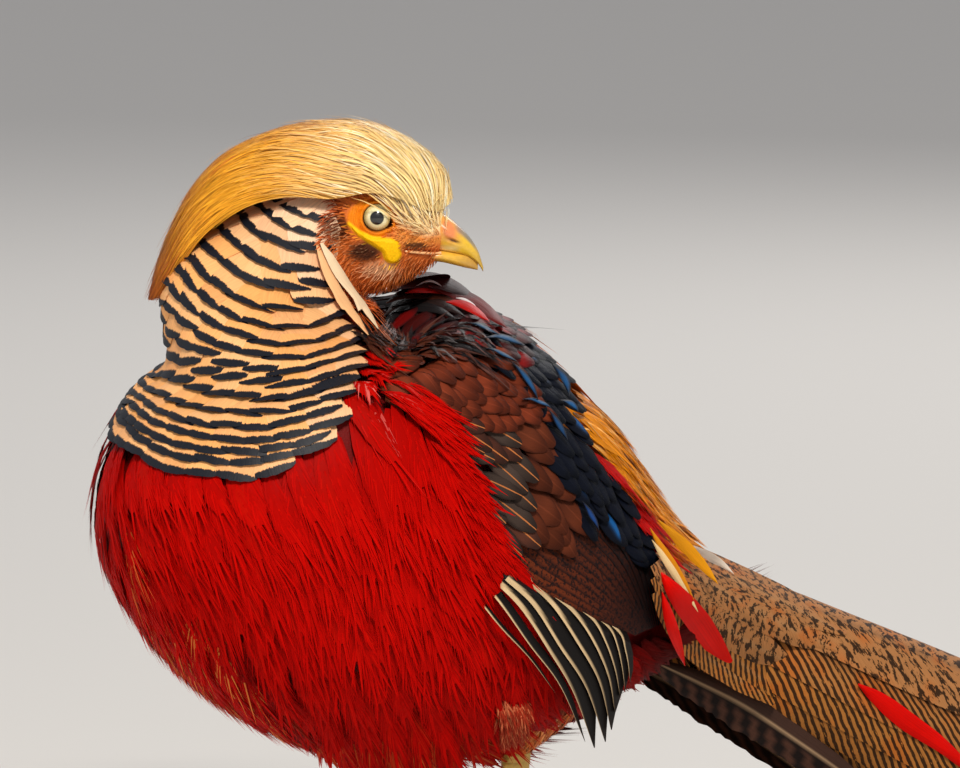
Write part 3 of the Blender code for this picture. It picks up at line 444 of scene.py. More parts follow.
def shows(p, d):
    """Whether the torso's surface, or its mirror image on the left, faces the camera."""
    return lie(body, p, fold(d))[3] @ view_axes()[3] < FACING


def screen_heading(place, degrees, below):
    """Heading on the body of a direction in the frame, given as an angle below level to the right."""
    _, along, around, _ = lie(body, place, degrees)
    _, right, up, _ = view_axes()
    a, b = unit(along), unit(around)
    a_x, a_y, b_x, b_y = a @ right, -(a @ up), b @ right, -(b @ up)
    x, y = np.cos(np.radians(below)), np.sin(np.radians(below))
    size = a_x * b_y - a_y * b_x
    size = np.where(np.abs(size) < 0.15, np.where(size < 0, -0.15, 0.15), size)
    return np.degrees(np.arctan2((a_x * y - a_y * x) / size, (x * b_y - y * b_x) / size))


def scatter(surface, places, degrees, spacing, seed, keep=None):
    """Roots spread evenly over a patch of a surface, no closer than the spacing, front ones first."""
    draw = np.random.default_rng(seed)
    rows, columns = ROOT_CELLS
    p, d = np.meshgrid(np.linspace(*places, rows + 1), np.linspace(*degrees, columns + 1), indexing="ij")
    p_step, d_step = (places[1] - places[0]) / rows, (degrees[1] - degrees[0]) / columns
    p, d = p[:-1, :-1] + p_step / 2, d[:-1, :-1] + d_step / 2
    _, along, around, _ = lie(surface, p, d)
    area = np.linalg.norm(np.cross(along, around), axis=-1) * p_step * d_step
    count = int(4.0 * area.sum() / spacing**2)
    cell = draw.choice(area.size, size=count, p=(area / area.sum()).ravel())
    p = p.ravel()[cell] + (draw.random(count) - 0.5) * p_step
    d = d.ravel()[cell] + (draw.random(count) - 0.5) * d_step
    if keep is not None:
        kept = keep(p, d)
        p, d = p[kept], d[kept]
    points = surface(p, d)
    keys = np.floor(points / spacing).astype(int).tolist()
    spots = points.tolist()
    steps = [(i, j, k) for i in (-1, 0, 1) for j in (-1, 0, 1) for k in (-1, 0, 1)]
    taken, chosen = {}, []
    for index, ((x, y, z), spot) in enumerate(zip(keys, spots)):
        cells_near = (taken.get((x + i, y + j, z + k), ()) for i, j, k in steps)
        if all(math.dist(spots[other], spot) >= spacing for cell in cells_near for other in cell):
            taken.setdefault((x, y, z), []).append(index)
            chosen.append(index)
    p, d = p[chosen], d[chosen]
    order = np.argsort(p)
    return p[order], d[order]


def lay_path(surface, places, degrees, lift):
    """Middle lines of feathers that follow paths on a surface: points, directions and normals."""
    point, _, _, normal = lie(surface, places, degrees)
    line = point + normal * np.broadcast_to(lift, places.shape)[..., None]
    ahead = unit(np.gradient(line, axis=1))
    side = unit(np.cross(ahead, normal))
    length = np.linalg.norm(np.diff(line, axis=1), axis=2).sum(axis=1)
    return {"line": line, "ahead": ahead, "side": side, "normal": normal, "place": places[:, 0],
            "degrees": degrees[:, 0], "length": length, "rows": places.shape[1]}


def lay(surface, place, degrees, heading, length, lift, rows=5, bend=0.0, last=99.0):
    """Feathers laid on a surface from their roots, by heading from straight along it and length."""
    place, degrees, heading, length, bend = np.broadcast_arrays(
        *(np.asarray(v, float) for v in (place, degrees, heading, length, bend)))
    _, along, around, _ = lie(surface, place, degrees)
    turn = np.radians(heading)
    steps = np.linspace(0, 1, rows)
    run = np.minimum(np.cos(turn) * length / np.linalg.norm(along, axis=-1), last - place)
    swing = np.sin(turn) * length / np.linalg.norm(around, axis=-1)
    p = place[:, None] + run[:, None] * steps
    d = degrees[:, None] + swing[:, None] * steps + bend[:, None] * steps**2
    lift = np.asarray(lift, float)
    if lift.shape[-1] != rows:
        at = np.linspace(0, 1, lift.shape[-1])
        lift = np.stack([np.interp(steps, at, row) for row in np.atleast_2d(lift)])
    return lay_path(surface, p, d, lift)


def read(laid, name, where):
    """A quantity of laid feathers at shares of the way to their tips, of shape (feather, ...)."""
    values = laid[name]
    position = np.clip(where, 0.0, 1.0) * (laid["rows"] - 1)
    first = np.clip(np.floor(position).astype(int), 0, laid["rows"] - 2)
    index = np.arange(len(values)).reshape(thin(where))
    x = (position - first)[..., None]
    base = values[index, first] * (1 - x) + values[index, first + 1] * x
    if name == "line":
        beyond = np.clip(where - 1.0, 0.0, 1.0)[..., None]
        base = base + laid["ahead"][index, -1] * beyond * laid["length"].reshape((-1,) + (1,) * where.ndim)
    return base


ROUND = (0.25, 0.62, 0.88, 1.0, 0.95, 0.45)
SQUARE = (0.25, 0.6, 0.85, 0.97, 1.0, 0.93)
LANCE = (0.3, 0.75, 1.0, 0.85, 0.5, 0.06)
BLADE = (0.5, 0.8, 1.0, 1.0, 0.95, 0.25)


def vanes(laid, width, shape=ROUND, columns=5, cup=0.12, tip_curve=0.0, roll=0.0, fray=0.0, seed=0):
    """Broad feathers as sheets: their points, and how far across and along each point lies."""
    rows = laid["rows"]
    steps = np.linspace(0, 1, rows)
    x = np.linspace(-1.0, 1.0, columns)
    half = np.asarray(width, float)
    half = (half if half.ndim == 2 else half.reshape(-1, 1)) / 2
    half = half * np.interp(steps, np.linspace(0, 1, len(shape)), shape)
    half = half[..., None, None]
    cross = x[None, None, :, None]
    side, normal, ahead = (laid[k][:, :, None, :] for k in ("side", "normal", "ahead"))
    points = laid["line"][:, :, None, :] + side * half * cross
    points = points + normal * half * (np.asarray(roll).reshape(-1, 1, 1, 1) * cross - cup * cross**2)
    back = tip_curve * np.abs(cross) ** 2.5 * steps[None, :, None, None] ** 2
    ragged = np.random.default_rng(seed).random((len(points), 1, columns, 1)) - 0.5
    points = points + ahead * (ragged * fray * steps[None, :, None, None] ** 4 - back * half)
    size = points.shape[:3]
    return points, np.broadcast_to(x[None, None, :], size), np.broadcast_to(steps[None, :, None], size)


def barbs(laid, width, count, shape=ROUND, thickness=0.8, reach=0.38, seed=0, droop=0.1, ruffle=0.3):
    """Silky feathers as many tapering barbs on both sides of the shaft, as narrow ribbons."""
    draw = np.random.default_rng(seed)
    number = len(laid["place"])
    start = np.linspace(0.02, 0.82, count)[None, :, None]
    start = start + 0.03 * (draw.random((number, count, 2)) - 0.5)
    sign = np.array([-1.0, 1.0])[None, None, :]
    end = start + reach * (0.75 + 0.5 * draw.random(start.shape))
    limit = np.interp(np.clip(start + 0.7 * reach, 0, 1), np.linspace(0, 1, len(shape)), shape)
    half = np.asarray(width, float).reshape(-1, 1, 1) / 2
    stations = np.array([0.0, 0.5, 1.0])
    where = start[..., None] + (end - start)[..., None] * stations
    x = (sign * half * limit * (0.8 + 0.4 * draw.random(start.shape)))[..., None] * stations**0.8
    line, side, normal = (read(laid, k, where) for k in ("line", "side", "normal"))
    middle = line + side * x[..., None] - normal * (np.abs(x) * droop)[..., None]
    middle = middle + normal * (ruffle * (draw.random(start.shape) - 0.5))[..., None, None]
    run = unit(np.gradient(middle, axis=3))
    edge = unit(np.cross(run, normal)) * (thickness * np.array([1.0, 0.9, 0.06]) / 2)[:, None]
    points = np.stack([middle - edge, middle + edge], axis=-2)
    points = points.reshape(number, -1, 3, 2, 3)
    half = np.broadcast_to(half[..., None], x.shape)
    across = np.broadcast_to((x / half)[..., None], middle.shape[:4] + (2,)).reshape(number, -1, 3, 2)
    along = np.broadcast_to(where[..., None], middle.shape[:4] + (2,)).reshape(number, -1, 3, 2)
    return points, across, along


HAIR = (0.6, 1.0, 0.9, 0.1)


def strands(laid, width, taper=HAIR, columns=2):
    """Hair-like feathers, each one narrow ribbon."""
    return vanes(laid, width, shape=taper, columns=columns, cup=0.4)


MAP_MARGIN = 0.02


def unwrap(laid, across, along, patch=0.0015):
    """A tuft's small patch at its root's place on an unwrap of the skin."""
    count = (slice(None),) + (None,) * (across.ndim - 1)
    u = (np.mod(laid["degrees"], 360.0) / 360.0)[count]
    v = (laid["place"] / TORSO_END)[count]
    u = MAP_MARGIN + (1 - 2 * MAP_MARGIN) * u + patch * across
    v = MAP_MARGIN + (1 - 2 * MAP_MARGIN) * v + patch * (2 * along - 1)
    return np.stack([u, v], axis=-1)


def cells(laid, across, along, first=0, total=0):
    """A cell of its own on the baking map for each broad, patterned feather."""
    total = total or len(laid["place"])
    wide = int(math.ceil(math.sqrt(total)))
    number = first + np.arange(len(laid["place"]))
    count = (slice(None),) + (None,) * (across.ndim - 1)
    u = (number % wide)[count] + 0.5 + 0.44 * across
    v = (number // wide)[count] + 0.06 + 0.88 * np.clip(along, 0, 1)
    return np.stack([u, v], axis=-1) / wide


def block(laid, shaped, tint, patterned=None):
    """A block for piece() from vanes, barbs or strands, with the tint as a colour or a function."""
    points, across, along = shaped
    colour = tint(laid, across, along) if callable(tint) else np.broadcast_to(np.array(tint), points.shape)
    vane = np.stack([across / 2 + 0.5, along], axis=-1)
    bake = unwrap(laid, across, along) if patterned is None else cells(laid, across, along, *patterned)
    return {"points": points, "tint": colour, "map": vane, "bake": bake}


def grid_map(rows, columns):
    """An even unwrap of one grid of points, row by row."""
    sides = (np.linspace(MAP_MARGIN, 1 - MAP_MARGIN, count) for count in (columns, rows))
    return np.stack(np.meshgrid(*sides), axis=-1)


def sheet(points, tint):
    """A block for piece() from one grid of points, unwrapped row by row."""
    uv = grid_map(*points.shape[:2])
    colour = np.broadcast_to(np.asarray(tint, float), points.shape)
    return {"points": points, "tint": colour, "map": uv, "bake": uv}


def tube(points, tint):
    """A block from closed rings of points, drawn together at both ends."""
    closed = np.concatenate([points, points[:, :1]], axis=1)
    tint = np.broadcast_to(np.asarray(tint, float), points.shape)
    tint = np.concatenate([tint, tint[:, :1]], axis=1)
    ends = [np.broadcast_to(points[row].mean(axis=0), closed[0].shape) for row in (0, -1)]
    closed = np.concatenate([ends[0][None], closed, ends[1][None]])
    tint = np.concatenate([tint[:1], tint, tint[-1:]])
    uv = grid_map(*closed.shape[:2])
    return {"points": closed, "tint": tint, "map": uv, "bake": uv}


def piece(name, blocks, material, replaces=(), weld=False):
    """One object from grids of points with a tint, a map along each feather and the baking map."""
    faces, offset = [], 0
    for part in blocks:
        rows, columns = part["points"].shape[-3:-1]
        index = offset + np.arange(part["points"].size // 3).reshape(-1, rows, columns)
        quad = np.stack([index[:, :-1, :-1], index[:, 1:, :-1], index[:, 1:, 1:], index[:, :-1, 1:]], axis=-1)
        faces.append(quad.reshape(-1, 4))
        offset += index.size
    faces = np.concatenate(faces)
    data = {key: np.concatenate([part[key].reshape(-1, size) for part in blocks])
            for key, size in (("points", 3), ("tint", 3), ("map", 2), ("bake", 2))}
    points = (data["points"] + SHIFT) * MM
    points[:, 2] = np.maximum(points[:, 2], FLOOR_GAP)
    mesh = bpy.data.meshes.new(name)
    mesh.vertices.add(len(points))
    mesh.vertices.foreach_set("co", points.astype(np.float32).ravel())
    mesh.loops.add(faces.size)
    mesh.loops.foreach_set("vertex_index", faces.astype(np.int32).ravel())
    mesh.polygons.add(len(faces))
    mesh.polygons.foreach_set("loop_start", np.arange(0, faces.size, 4, dtype=np.int32))
    mesh.polygons.foreach_set("loop_total", np.full(len(faces), 4, dtype=np.int32))
    mesh.update(calc_edges=True)
    for map_name, values in (("OFBake", data["bake"]), ("Vane", data["map"])):
        layer = mesh.uv_layers.new(name=map_name)
        layer.data.foreach_set("uv", values[faces.ravel()].astype(np.float32).ravel())
    colour = np.concatenate([data["tint"], np.ones((len(points), 1))], axis=1)
    layer = mesh.color_attributes.new("Tint", "FLOAT_COLOR", "POINT")
    layer.data.foreach_set("color", np.clip(colour, 0, 1).astype(np.float32).ravel())
    if weld:
        work = bmesh.new()
        work.from_mesh(mesh)
        bmesh.ops.remove_doubles(work, verts=work.verts, dist=WELD_GAP)
        bmesh.ops.recalc_face_normals(work, faces=work.faces)
        work.to_mesh(mesh)
        work.free()
    mesh.shade_smooth()
    made = bpy.data.objects.new(name, mesh)
    bpy.context.scene.collection.objects.link(made)
    mesh.materials.append(material)
    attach(made, "root")
    if replaces:
        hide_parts(*replaces)
    return made


class Nodes:
    """A material's node tree, with short ways to add to it."""

    def __init__(self, name, roughness=0.5, **sockets):
        self.material = bpy.data.materials.new(name)
        self.material.use_nodes = True
        self.tree = self.material.node_tree
        self.shader = self.tree.nodes["Principled BSDF"]
        self.shader.inputs["Roughness"].default_value = roughness
        for socket, value in sockets.items():
            self.shader.inputs[socket.replace("_", " ")].default_value = value

    def add(self, kind, settings=None, **inputs):
        """A node with its settings, and with values or links on its input sockets."""
        node = self.tree.nodes.new("ShaderNode" + kind)
        for key, value in (settings or {}).items():
            setattr(node, key, value)
        for key, value in inputs.items():
            socket = node.inputs[int(key[1:])] if key[1:].isdigit() else node.inputs[key.replace("_", " ")]
            self.put(socket, value)
        return node

    def put(self, socket, value):
        """A value on a socket, or a link to it."""
        if isinstance(value, bpy.types.Node):
            value = value.outputs[0]
        if isinstance(value, bpy.types.NodeSocket):
            self.tree.links.new(value, socket)
        elif isinstance(value, (tuple, list, np.ndarray)) and len(value) == 3 and socket.type == "RGBA":
            socket.default_value = (*value, 1.0)
        else:
            socket.default_value = value

    def set(self, **inputs):
        """Values or links on the shader's sockets."""
        for key, value in inputs.items():
            self.put(self.shader.inputs[key.replace("_", " ")], value)

    def sum(self, operation, first, second=0.0, third=0.0):
        """A Math node."""
        return self.add("Math", {"operation": operation}, _0=first, _1=second, _2=third).outputs[0]

    def blend(self, share, first, second, how="MIX"):
        """A colour mixed from two, or one multiplied by another."""
        kind = {"data_type": "RGBA", "blend_type": how}
        return self.add("Mix", kind, _0=share, _6=first, _7=second).outputs[2]

    def shaded(self, colour, shade):
        """A colour made darker or lighter by a number."""
        return self.blend(1.0, colour, self.add("CombineColor", _0=shade, _1=shade, _2=shade), "MULTIPLY")

    def tint(self):
        """The colour that each feather was given."""
        return self.add("Attribute", {"attribute_name": "Tint"}).outputs["Color"]

    def map(self, across, along):
        """Coordinates on each feather, stretched across and along it."""
        vane = self.add("UVMap", {"uv_map": "Vane"})
        return self.add("Mapping", _0=vane, _3=(across, along, 1.0)).outputs[0]

    def across_along(self):
        """The two coordinates on each feather as numbers."""
        parts = self.add("SeparateXYZ", _0=self.add("UVMap", {"uv_map": "Vane"}))
        return parts.outputs[0], parts.outputs[1]

    def pair(self, across, wide, along, high):
        """Two coordinates, each times a number, as one vector."""
        first, second = self.sum("MULTIPLY", across, wide), self.sum("MULTIPLY", along, high)
        return self.add("CombineXYZ", _0=first, _1=second)

    def noise(self, vector, scale, detail=2.0, roughness=0.5):
        """A noise value from 0 to 1."""
        return self.add("TexNoise", {"noise_dimensions": "3D"}, Vector=vector, Scale=scale, Detail=detail,
                        Roughness=roughness).outputs[0]

    def place(self):
        """A place on the bird."""
        return self.add("TexCoord").outputs["Object"]

    def ramp(self, value, low, high):
        """0 below low and 1 above high."""
        kind = {"interpolation_type": "SMOOTHSTEP"}
        return self.add("MapRange", kind, Value=value, From_Min=low, From_Max=high).outputs[0]

    def bump(self, height, strength, distance):
        """Relief from a height."""
        self.set(Normal=self.add("Bump", Strength=strength, Distance=distance, Height=height))


def feather_material(name, roughness=0.5, lines=30.0, depth=0.2, specular=0.35, **sockets):
    """Silky barbs that run along each feather, in the tint it was given."""
    sockets.setdefault("IOR", 1.25)
    m = Nodes(name, roughness, Specular_IOR_Level=specular, **sockets)
    fine = m.noise(m.map(lines, 2.5), 1.0, 3.0, 0.6)
    patch = m.noise(m.place(), 90.0, 2.0)
    shade = m.sum("MULTIPLY", m.sum("MULTIPLY_ADD", fine, 2 * depth, 1.0 - depth),
                  m.sum("MULTIPLY_ADD", patch, 0.3, 0.85))
    m.set(Base_Color=m.shaded(m.tint(), shade))
    m.bump(fine, 0.4, 0.0003)
    return m.material


def grained(name, roughness, noise, shade, bump=None, **sockets):
    """A plain surface in its own tint, darker and lighter by a fine grain."""
    m = Nodes(name, roughness, **sockets)
    grain = m.noise(m.place(), *noise)
    m.set(Base_Color=m.shaded(m.tint(), m.sum("MULTIPLY_ADD", grain, *shade)))
    if bump:
        m.bump(grain, *bump)
    return m.material


def chance(across, seed, parts=1):
    """A random number for each feather, or for each of its barbs, in the shape of its points."""
    draw = np.random.default_rng(seed).random(across.shape[:parts])
    return np.broadcast_to(draw.reshape(draw.shape + (1,) * (across.ndim - parts)), across.shape)


def rooted(laid, name, across):
    """The place or angle of each feather's root, in the shape of its points."""
    return np.broadcast_to(laid[name].reshape(thin(across)), across.shape)


def thin(across):
    """A shape that spreads one value for each feather over its points."""
    return (-1,) + (1,) * (across.ndim - 1)


def fold(degrees):
    """Angle from the back on either side."""
    degrees = np.mod(degrees, 360.0)
    return np.minimum(degrees, 360.0 - degrees)


def varied(colour, across, seed, share=0.25, parts=None):
    """A colour made lighter and darker at random by feather and barb."""
    parts = parts or (2 if across.ndim == 4 else 1)
    return colour * (1 - share + 2 * share * chance(across, seed, parts))[..., None]


THIGH = (
    (112.0, 30.0, 8.0, 14.0, 10.0),
    (100.0, 31.0, 6.0, 25.0, 18.0),
    (86.0, 30.0, 3.0, 24.0, 17.0),
    (76.0, 28.5, 1.0, 19.0, 13.0),
    (69.0, 26.5, -0.5, 12.0, 8.5),
    (THIGH_LOW_Z, LEG_SPREAD, ANKLE_Y, 6.5, 5.5),
)


def thigh(side):
    """The surface of a feathered thigh: place along it downward, angle round it."""
    def surface(place, degrees):
        row = curve(THIGH, place)
        angle = np.radians(degrees)
        x = side * (row[..., 1] + row[..., 4] * np.cos(angle))
        y = row[..., 2] - row[..., 3] * np.sin(angle) * side
        return np.stack(np.broadcast_arrays(x, y, row[..., 0]), axis=-1)
    return surface


FLOOR_SIZE, FLOOR_COLOUR = 6.0, (0.66, 0.64, 0.61)
SKY_COLOUR, SKY_STRENGTH = (0.97, 0.97, 1.0, 1.0), 0.45
KEY_COLOUR, FILL_COLOUR = (1.0, 0.95, 0.87), (1.0, 0.98, 0.96)


def make_stage():
    """Plain pale floor, soft lights and the camera at the photograph's angle."""
    mesh = bpy.data.meshes.new("floor")
    square = [(x * FLOOR_SIZE, y * FLOOR_SIZE, 0) for x, y in ((-1, -1), (1, -1), (1, 1), (-1, 1))]
    mesh.from_pydata(square, [], [(0, 1, 2, 3)])
    floor = bpy.data.objects.new("floor", mesh)
    bpy.context.scene.collection.objects.link(floor)
    m = Nodes("floor", 0.8)
    m.set(Base_Color=FLOOR_COLOUR)
    mesh.materials.append(m.material)
    bpy.context.scene.view_settings.view_transform = "Standard"
    world = bpy.data.worlds.new("studio")
    bpy.context.scene.world = world
    world.use_nodes = True
    world.node_tree.nodes["Background"].inputs["Color"].default_value = SKY_COLOUR
    world.node_tree.nodes["Background"].inputs["Strength"].default_value = SKY_STRENGTH
    for name, spot, power, width in LIGHTS:
        light = bpy.data.lights.new(name, "AREA")
        light.energy, light.size = power, width
        light.color = KEY_COLOUR if name == "key" else FILL_COLOUR
        lamp = bpy.data.objects.new(name, light)
        bpy.context.scene.collection.objects.link(lamp)
        point_at(lamp, np.array(spot), BIRD_MIDDLE)
    make_camera()


BIRD_MIDDLE = np.array([0.0, -0.38, 0.17])
LIGHTS = (
    ("key", (1.35, -1.1, 1.6), 40.0, 0.4),
    ("fill", (-0.9, -1.9, 0.8), 6.0, 1.6),
    ("back", (-1.2, 1.3, 1.4), 14.0, 1.0),
)


def point_at(thing, spot, target):
    """Place a lamp or the camera and turn it to a target, both in metres."""
    thing.location = Vector(spot)
    thing.rotation_euler = (Vector(target) - Vector(spot)).to_track_quat("-Z", "Y").to_euler()


def make_camera():
    """The photograph's view, from the bird's front left and a little above."""
    eye, _, _, ahead = view_axes()
    data = bpy.data.cameras.new("camera")
    data.sensor_width = 36.0
    data.lens = 36.0 * CAMERA_AWAY * PIXELS_PER_MM / FRAME_WIDTH
    data.clip_end = 50.0
    camera = bpy.data.objects.new("camera", data)
    bpy.context.scene.collection.objects.link(camera)
    point_at(camera, (eye + SHIFT) * MM, (eye + SHIFT + ahead * CAMERA_AWAY) * MM)
    bpy.context.scene.camera = camera


# The head. Places on it are millimetres forward and up from the eye.

# The yellow fold under the eye and the line of the mouth: forward, up and half thickness.
LAPPET_LINE = np.array(((-8.9, -1.8, 0.5), (-5.4, -4.9, 1.0), (-1.8, -6.9, 1.4), (1.6, -8.2, 2.2),
                        (4.3, -9.4, 3.1), (4.9, -12.0, 2.9)))
MOUTH_LINE = np.array(((24.0, -12.4, 0.5), (18.0, -12.0, 0.5), (13.0, -11.4, 0.5), (8.8, -10.8, 0.4)))
EYE_CORNER, CORNER_SIZE = (4.4, -2.2, 1.3), 1.5
BARE_MIDDLE, BARE_RADII = (-1.3, -0.2), (8.2, 6.3)
SOCKET_MIDDLE, SOCKET_RADII, SOCKET_DEPTH = (-5.0, -4.5), (5.5, 3.0), 4.0
LORE_EDGE = ((2.0, 5.0, 9.0, 16.0, 21.0), (7.0, 0.6, -3.4, -6.4, -5.4))
LAPPET_HEIGHT, LID_HEIGHT, MOUTH_DEPTH = 1.3, 0.85, 0.8
# Soft patches of colour behind and below the eye: middle, radii, colour, strength and where each fades out.
FACE_PATCHES = (
    ((-12.5, -3.6), (4.4, 4.6), FACE_DARK, 0.85, (0.5, 1.2)),
    ((-3.4, -10.6), (5.4, 3.6), FACE_DARK, 0.95, (0.55, 1.25)),
    ((1.5, -16.4), (6.5, 2.6), CHIN_CREAM, 0.75, (0.5, 1.3)),
)
MOUTH_STRIPE, STRIPE_RADII, STRIPE_SLOPE = (12.6, -9.0), (4.2, 0.9), 0.12
SKIN_ROWS, SKIN_COLUMNS, THIGH_COAT = (190, 100), 301, 2.0
FLESH_NODES = ("torso", "neck", "head", "thigh_left", "thigh_right")


def oval(forward, up, middle, radii):
    """Distance from an oval's middle, 1 on the oval."""
    return np.hypot((forward - middle[0]) / radii[0], (up - middle[1]) / radii[1])


def ridge(value, at, width):
    """1 at a value and falling off smoothly on both sides."""
    return np.exp(-(((value - at) / width) ** 2))


def line_reach(forward, up, line):
    """Distance in the head's middle plane from a band along a line, negative inside it."""
    nearest = np.full(np.shape(forward), 1e9)
    for start, end in zip(line[:-1], line[1:]):
        run = (end - start)[:2]
        share = np.clip(((forward - start[0]) * run[0] + (up - start[1]) * run[1]) / (run @ run), 0, 1)
        away = np.hypot(forward - start[0] - share * run[0], up - start[1] - share * run[1])
        nearest = np.minimum(nearest, away - start[2] - share * (end[2] - start[2]))
    return nearest


def lappet(forward, up):
    """The yellow fleshy fold under the eye."""
    return 1 - smooth(-0.5, 0.45, line_reach(forward, up, LAPPET_LINE))


def eye_reach(forward, up):
    """Distance from the eye's middle, less where its front corner draws out."""
    corner = np.hypot(forward - EYE_CORNER[0], up - EYE_CORNER[1])
    return np.hypot(forward, up) - EYE_CORNER[2] * ridge(corner, 0, CORNER_SIZE)


def bare_ring(forward, up):
    """The bare orange skin round the eye."""
    return 1 - smooth(0.9, 1.08, oval(forward, up, BARE_MIDDLE, BARE_RADII))


def lore(forward, up):
    """How far the pale golden plumage of the brow comes down in front of the eye."""
    return smooth(-1.6, 2.2, up - np.interp(forward, *LORE_EDGE)) * smooth(2.0, 5.0, forward)


def face_tint(forward, up):
    """Colours of the side of the head, the same on its skin and its feathers."""
    colour = np.broadcast_to(np.array(RUST), np.shape(forward) + (3,))
    colour = mix(colour, TEMPLE_RUST, (1 - smooth(-14.0, -9.0, forward)) * smooth(-8.0, -2.0, up))
    for middle, radii, patch, strength, fade in FACE_PATCHES:
        colour = mix(colour, patch, strength * (1 - smooth(*fade, oval(forward, up, middle, radii))))
    colour = mix(colour, MUZZLE_ORANGE, 0.85 * smooth(4.0, 7.0, forward) * smooth(-10.5, -7.5, up))
    stripe = oval(forward, up + STRIPE_SLOPE * (forward - MOUTH_STRIPE[0]), MOUTH_STRIPE, STRIPE_RADII)
    colour = mix(colour, MOUTH_BROWN, 0.85 * (1 - smooth(0.6, 1.3, stripe)))
    colour = mix(colour, BROW_GOLD, lore(forward, up))
    bare = bare_ring(forward, up)
    colour = mix(colour, FACE_ORANGE, bare)
    deep = oval(forward, up, SOCKET_MIDDLE, SOCKET_RADII)
    colour = mix(colour, SOCKET_ORANGE, 0.5 * bare * (1 - smooth(0.5, 1.2, deep)))
    colour = mix(colour, LAPPET_YELLOW, lappet(forward, up))
    return mix(colour, LID_BROWN, 1 - smooth(4.15, 4.75, eye_reach(forward, up)))


def face_relief(forward, up):
    """Height of the face's own forms over the skin: lids, socket, lappet and mouth line."""
    reach = eye_reach(forward, up)
    lid = LID_HEIGHT * ridge(reach, 5.0, 0.55) - 0.35 * ridge(reach, 6.3, 0.35)
    lid = lid + 0.25 * ridge(reach, 7.0, 0.5)
    socket = -SOCKET_DEPTH * (1 - smooth(3.7, 4.5, reach))
    mouth = -MOUTH_DEPTH * ridge(np.maximum(line_reach(forward, up, MOUTH_LINE), 0), 0, 0.35)
    flap = LAPPET_HEIGHT * (1 - smooth(-1.4, 0.3, line_reach(forward, up, LAPPET_LINE)))
    folds = np.sin(reach * 6.5 + 1.2 * np.sin(np.arctan2(up, forward) * 7))
    wrinkles = 0.16 * folds * bare_ring(forward, up) * smooth(5.6, 6.4, reach)
    beads = 0.1 * np.sin(forward * 7.0 + up * 2.0) * np.sin(up * 8.0 - forward) * lappet(forward, up)
    return lid + socket + mouth + flap + wrinkles + beads


def make_skin():
    """One skin for the head, neck, torso and thighs, inside the coat."""
    places = np.concatenate([np.linspace(0.0, HEAD_END, SKIN_ROWS[0])[:-1],
                             np.linspace(HEAD_END, TORSO_END, SKIN_ROWS[1])])
    degrees = np.linspace(0.0, 360.0, SKIN_COLUMNS)[:-1]
    p, d = np.meshgrid(places, degrees, indexing="ij")
    point, _, _, normal = lie(body, p, d)
    forward, right, up = head_axes(point)
    on_side = smooth(3.0, 5.5, np.abs(right)) * (1 - smooth(4.6, 5.2, p))
    height = face_relief(forward, up) * on_side - flesh_depth(p, d)
    lower = mix(DEEP_RED, ORANGE_GOLD, (1 - smooth(35, 50, fold(d))) * smooth(10.4, 11.2, p))
    lower = mix(lower, UNDER_MANTLE, (1 - smooth(60, 75, fold(d))) * (1 - smooth(10.0, 10.8, p)))
    tint = mix(face_tint(forward, up), lower, smooth(5.0, 6.0, p))
    blocks = [tube(point + normal * height[..., None], tint)]
    for side in SIDES.values():
        p, d = np.meshgrid(np.linspace(0, 5, 30), np.linspace(0, 360, 41)[:-1], indexing="ij")
        point, _, _, normal = lie(thigh(side), p, d)
        blocks.append(tube(point - normal * THIGH_COAT, DEEP_RED))
    skin = grained("skin", 0.55, (1800.0, 3.0), (0.5, 0.75), (0.5, 0.0003), Specular_IOR_Level=0.3, IOR=1.3,
                   Subsurface_Weight=0.05, Subsurface_Scale=0.002)
    piece("skin", blocks, skin, FLESH_NODES, weld=True)


def crest_edge(forward):
    """Height of the crest's lower edge at a place along the head."""
    row = np.array(CREST_OUTLINE)[::-1]
    return np.interp(forward, row[:, 2], row[:, 3])


# Where the cape ends behind the face, by pixels of the frame.
CAPE_FACE_LINE = ((330, 196), (326, 208), (323, 225), (322, 240), (322, 256))
BRISTLE_SPACING, BRISTLE_WIDTH, BRISTLE_LENGTH = 0.8, 0.42, 1.7
BRISTLE_LIFT, BRISTLE_RUFF, BROW_LIFT = (-0.9, -0.1, 0.15, 0.1), (0.0, 0.0, 0.3, 0.7), (0.0, 0.4, 1.3, 2.2)
# How far the face's bristles turn up from straight back, in degrees, at heights on the head.
BRISTLE_TURN = ((-18, -9, -5, 1), (-30.0, -14.0, 18.0, 46.0))


def on_face(p, d):
    """Where short feathers grow: not on bare skin, the mouth, or under the crest or cape."""
    point = body(p, d)
    forward, right, up = head_axes(point)
    bare = (bare_ring(forward, up) > 0.5) & (np.abs(right) > 3) | (lappet(forward, up) > 0.3)
    mouth = (line_reach(forward, up, MOUTH_LINE) < 0.35) & (forward < 22)
    covered = up > crest_edge(forward) + 4.0
    left, right = cape_edges(p)
    x, y, _ = to_pixels(point)
    bared = (x > line_x(CAPE_FACE_LINE, y)) & (np.mod(d, 360) < 150) & (y < 250)
    caped = (p > 4.72) & (np.mod(d, 360) > left) & (np.mod(d, 360) < right) & ~bared
    return ~bare & ~mouth & ~covered & ~caped & (eye_reach(forward, up) > 5.0)


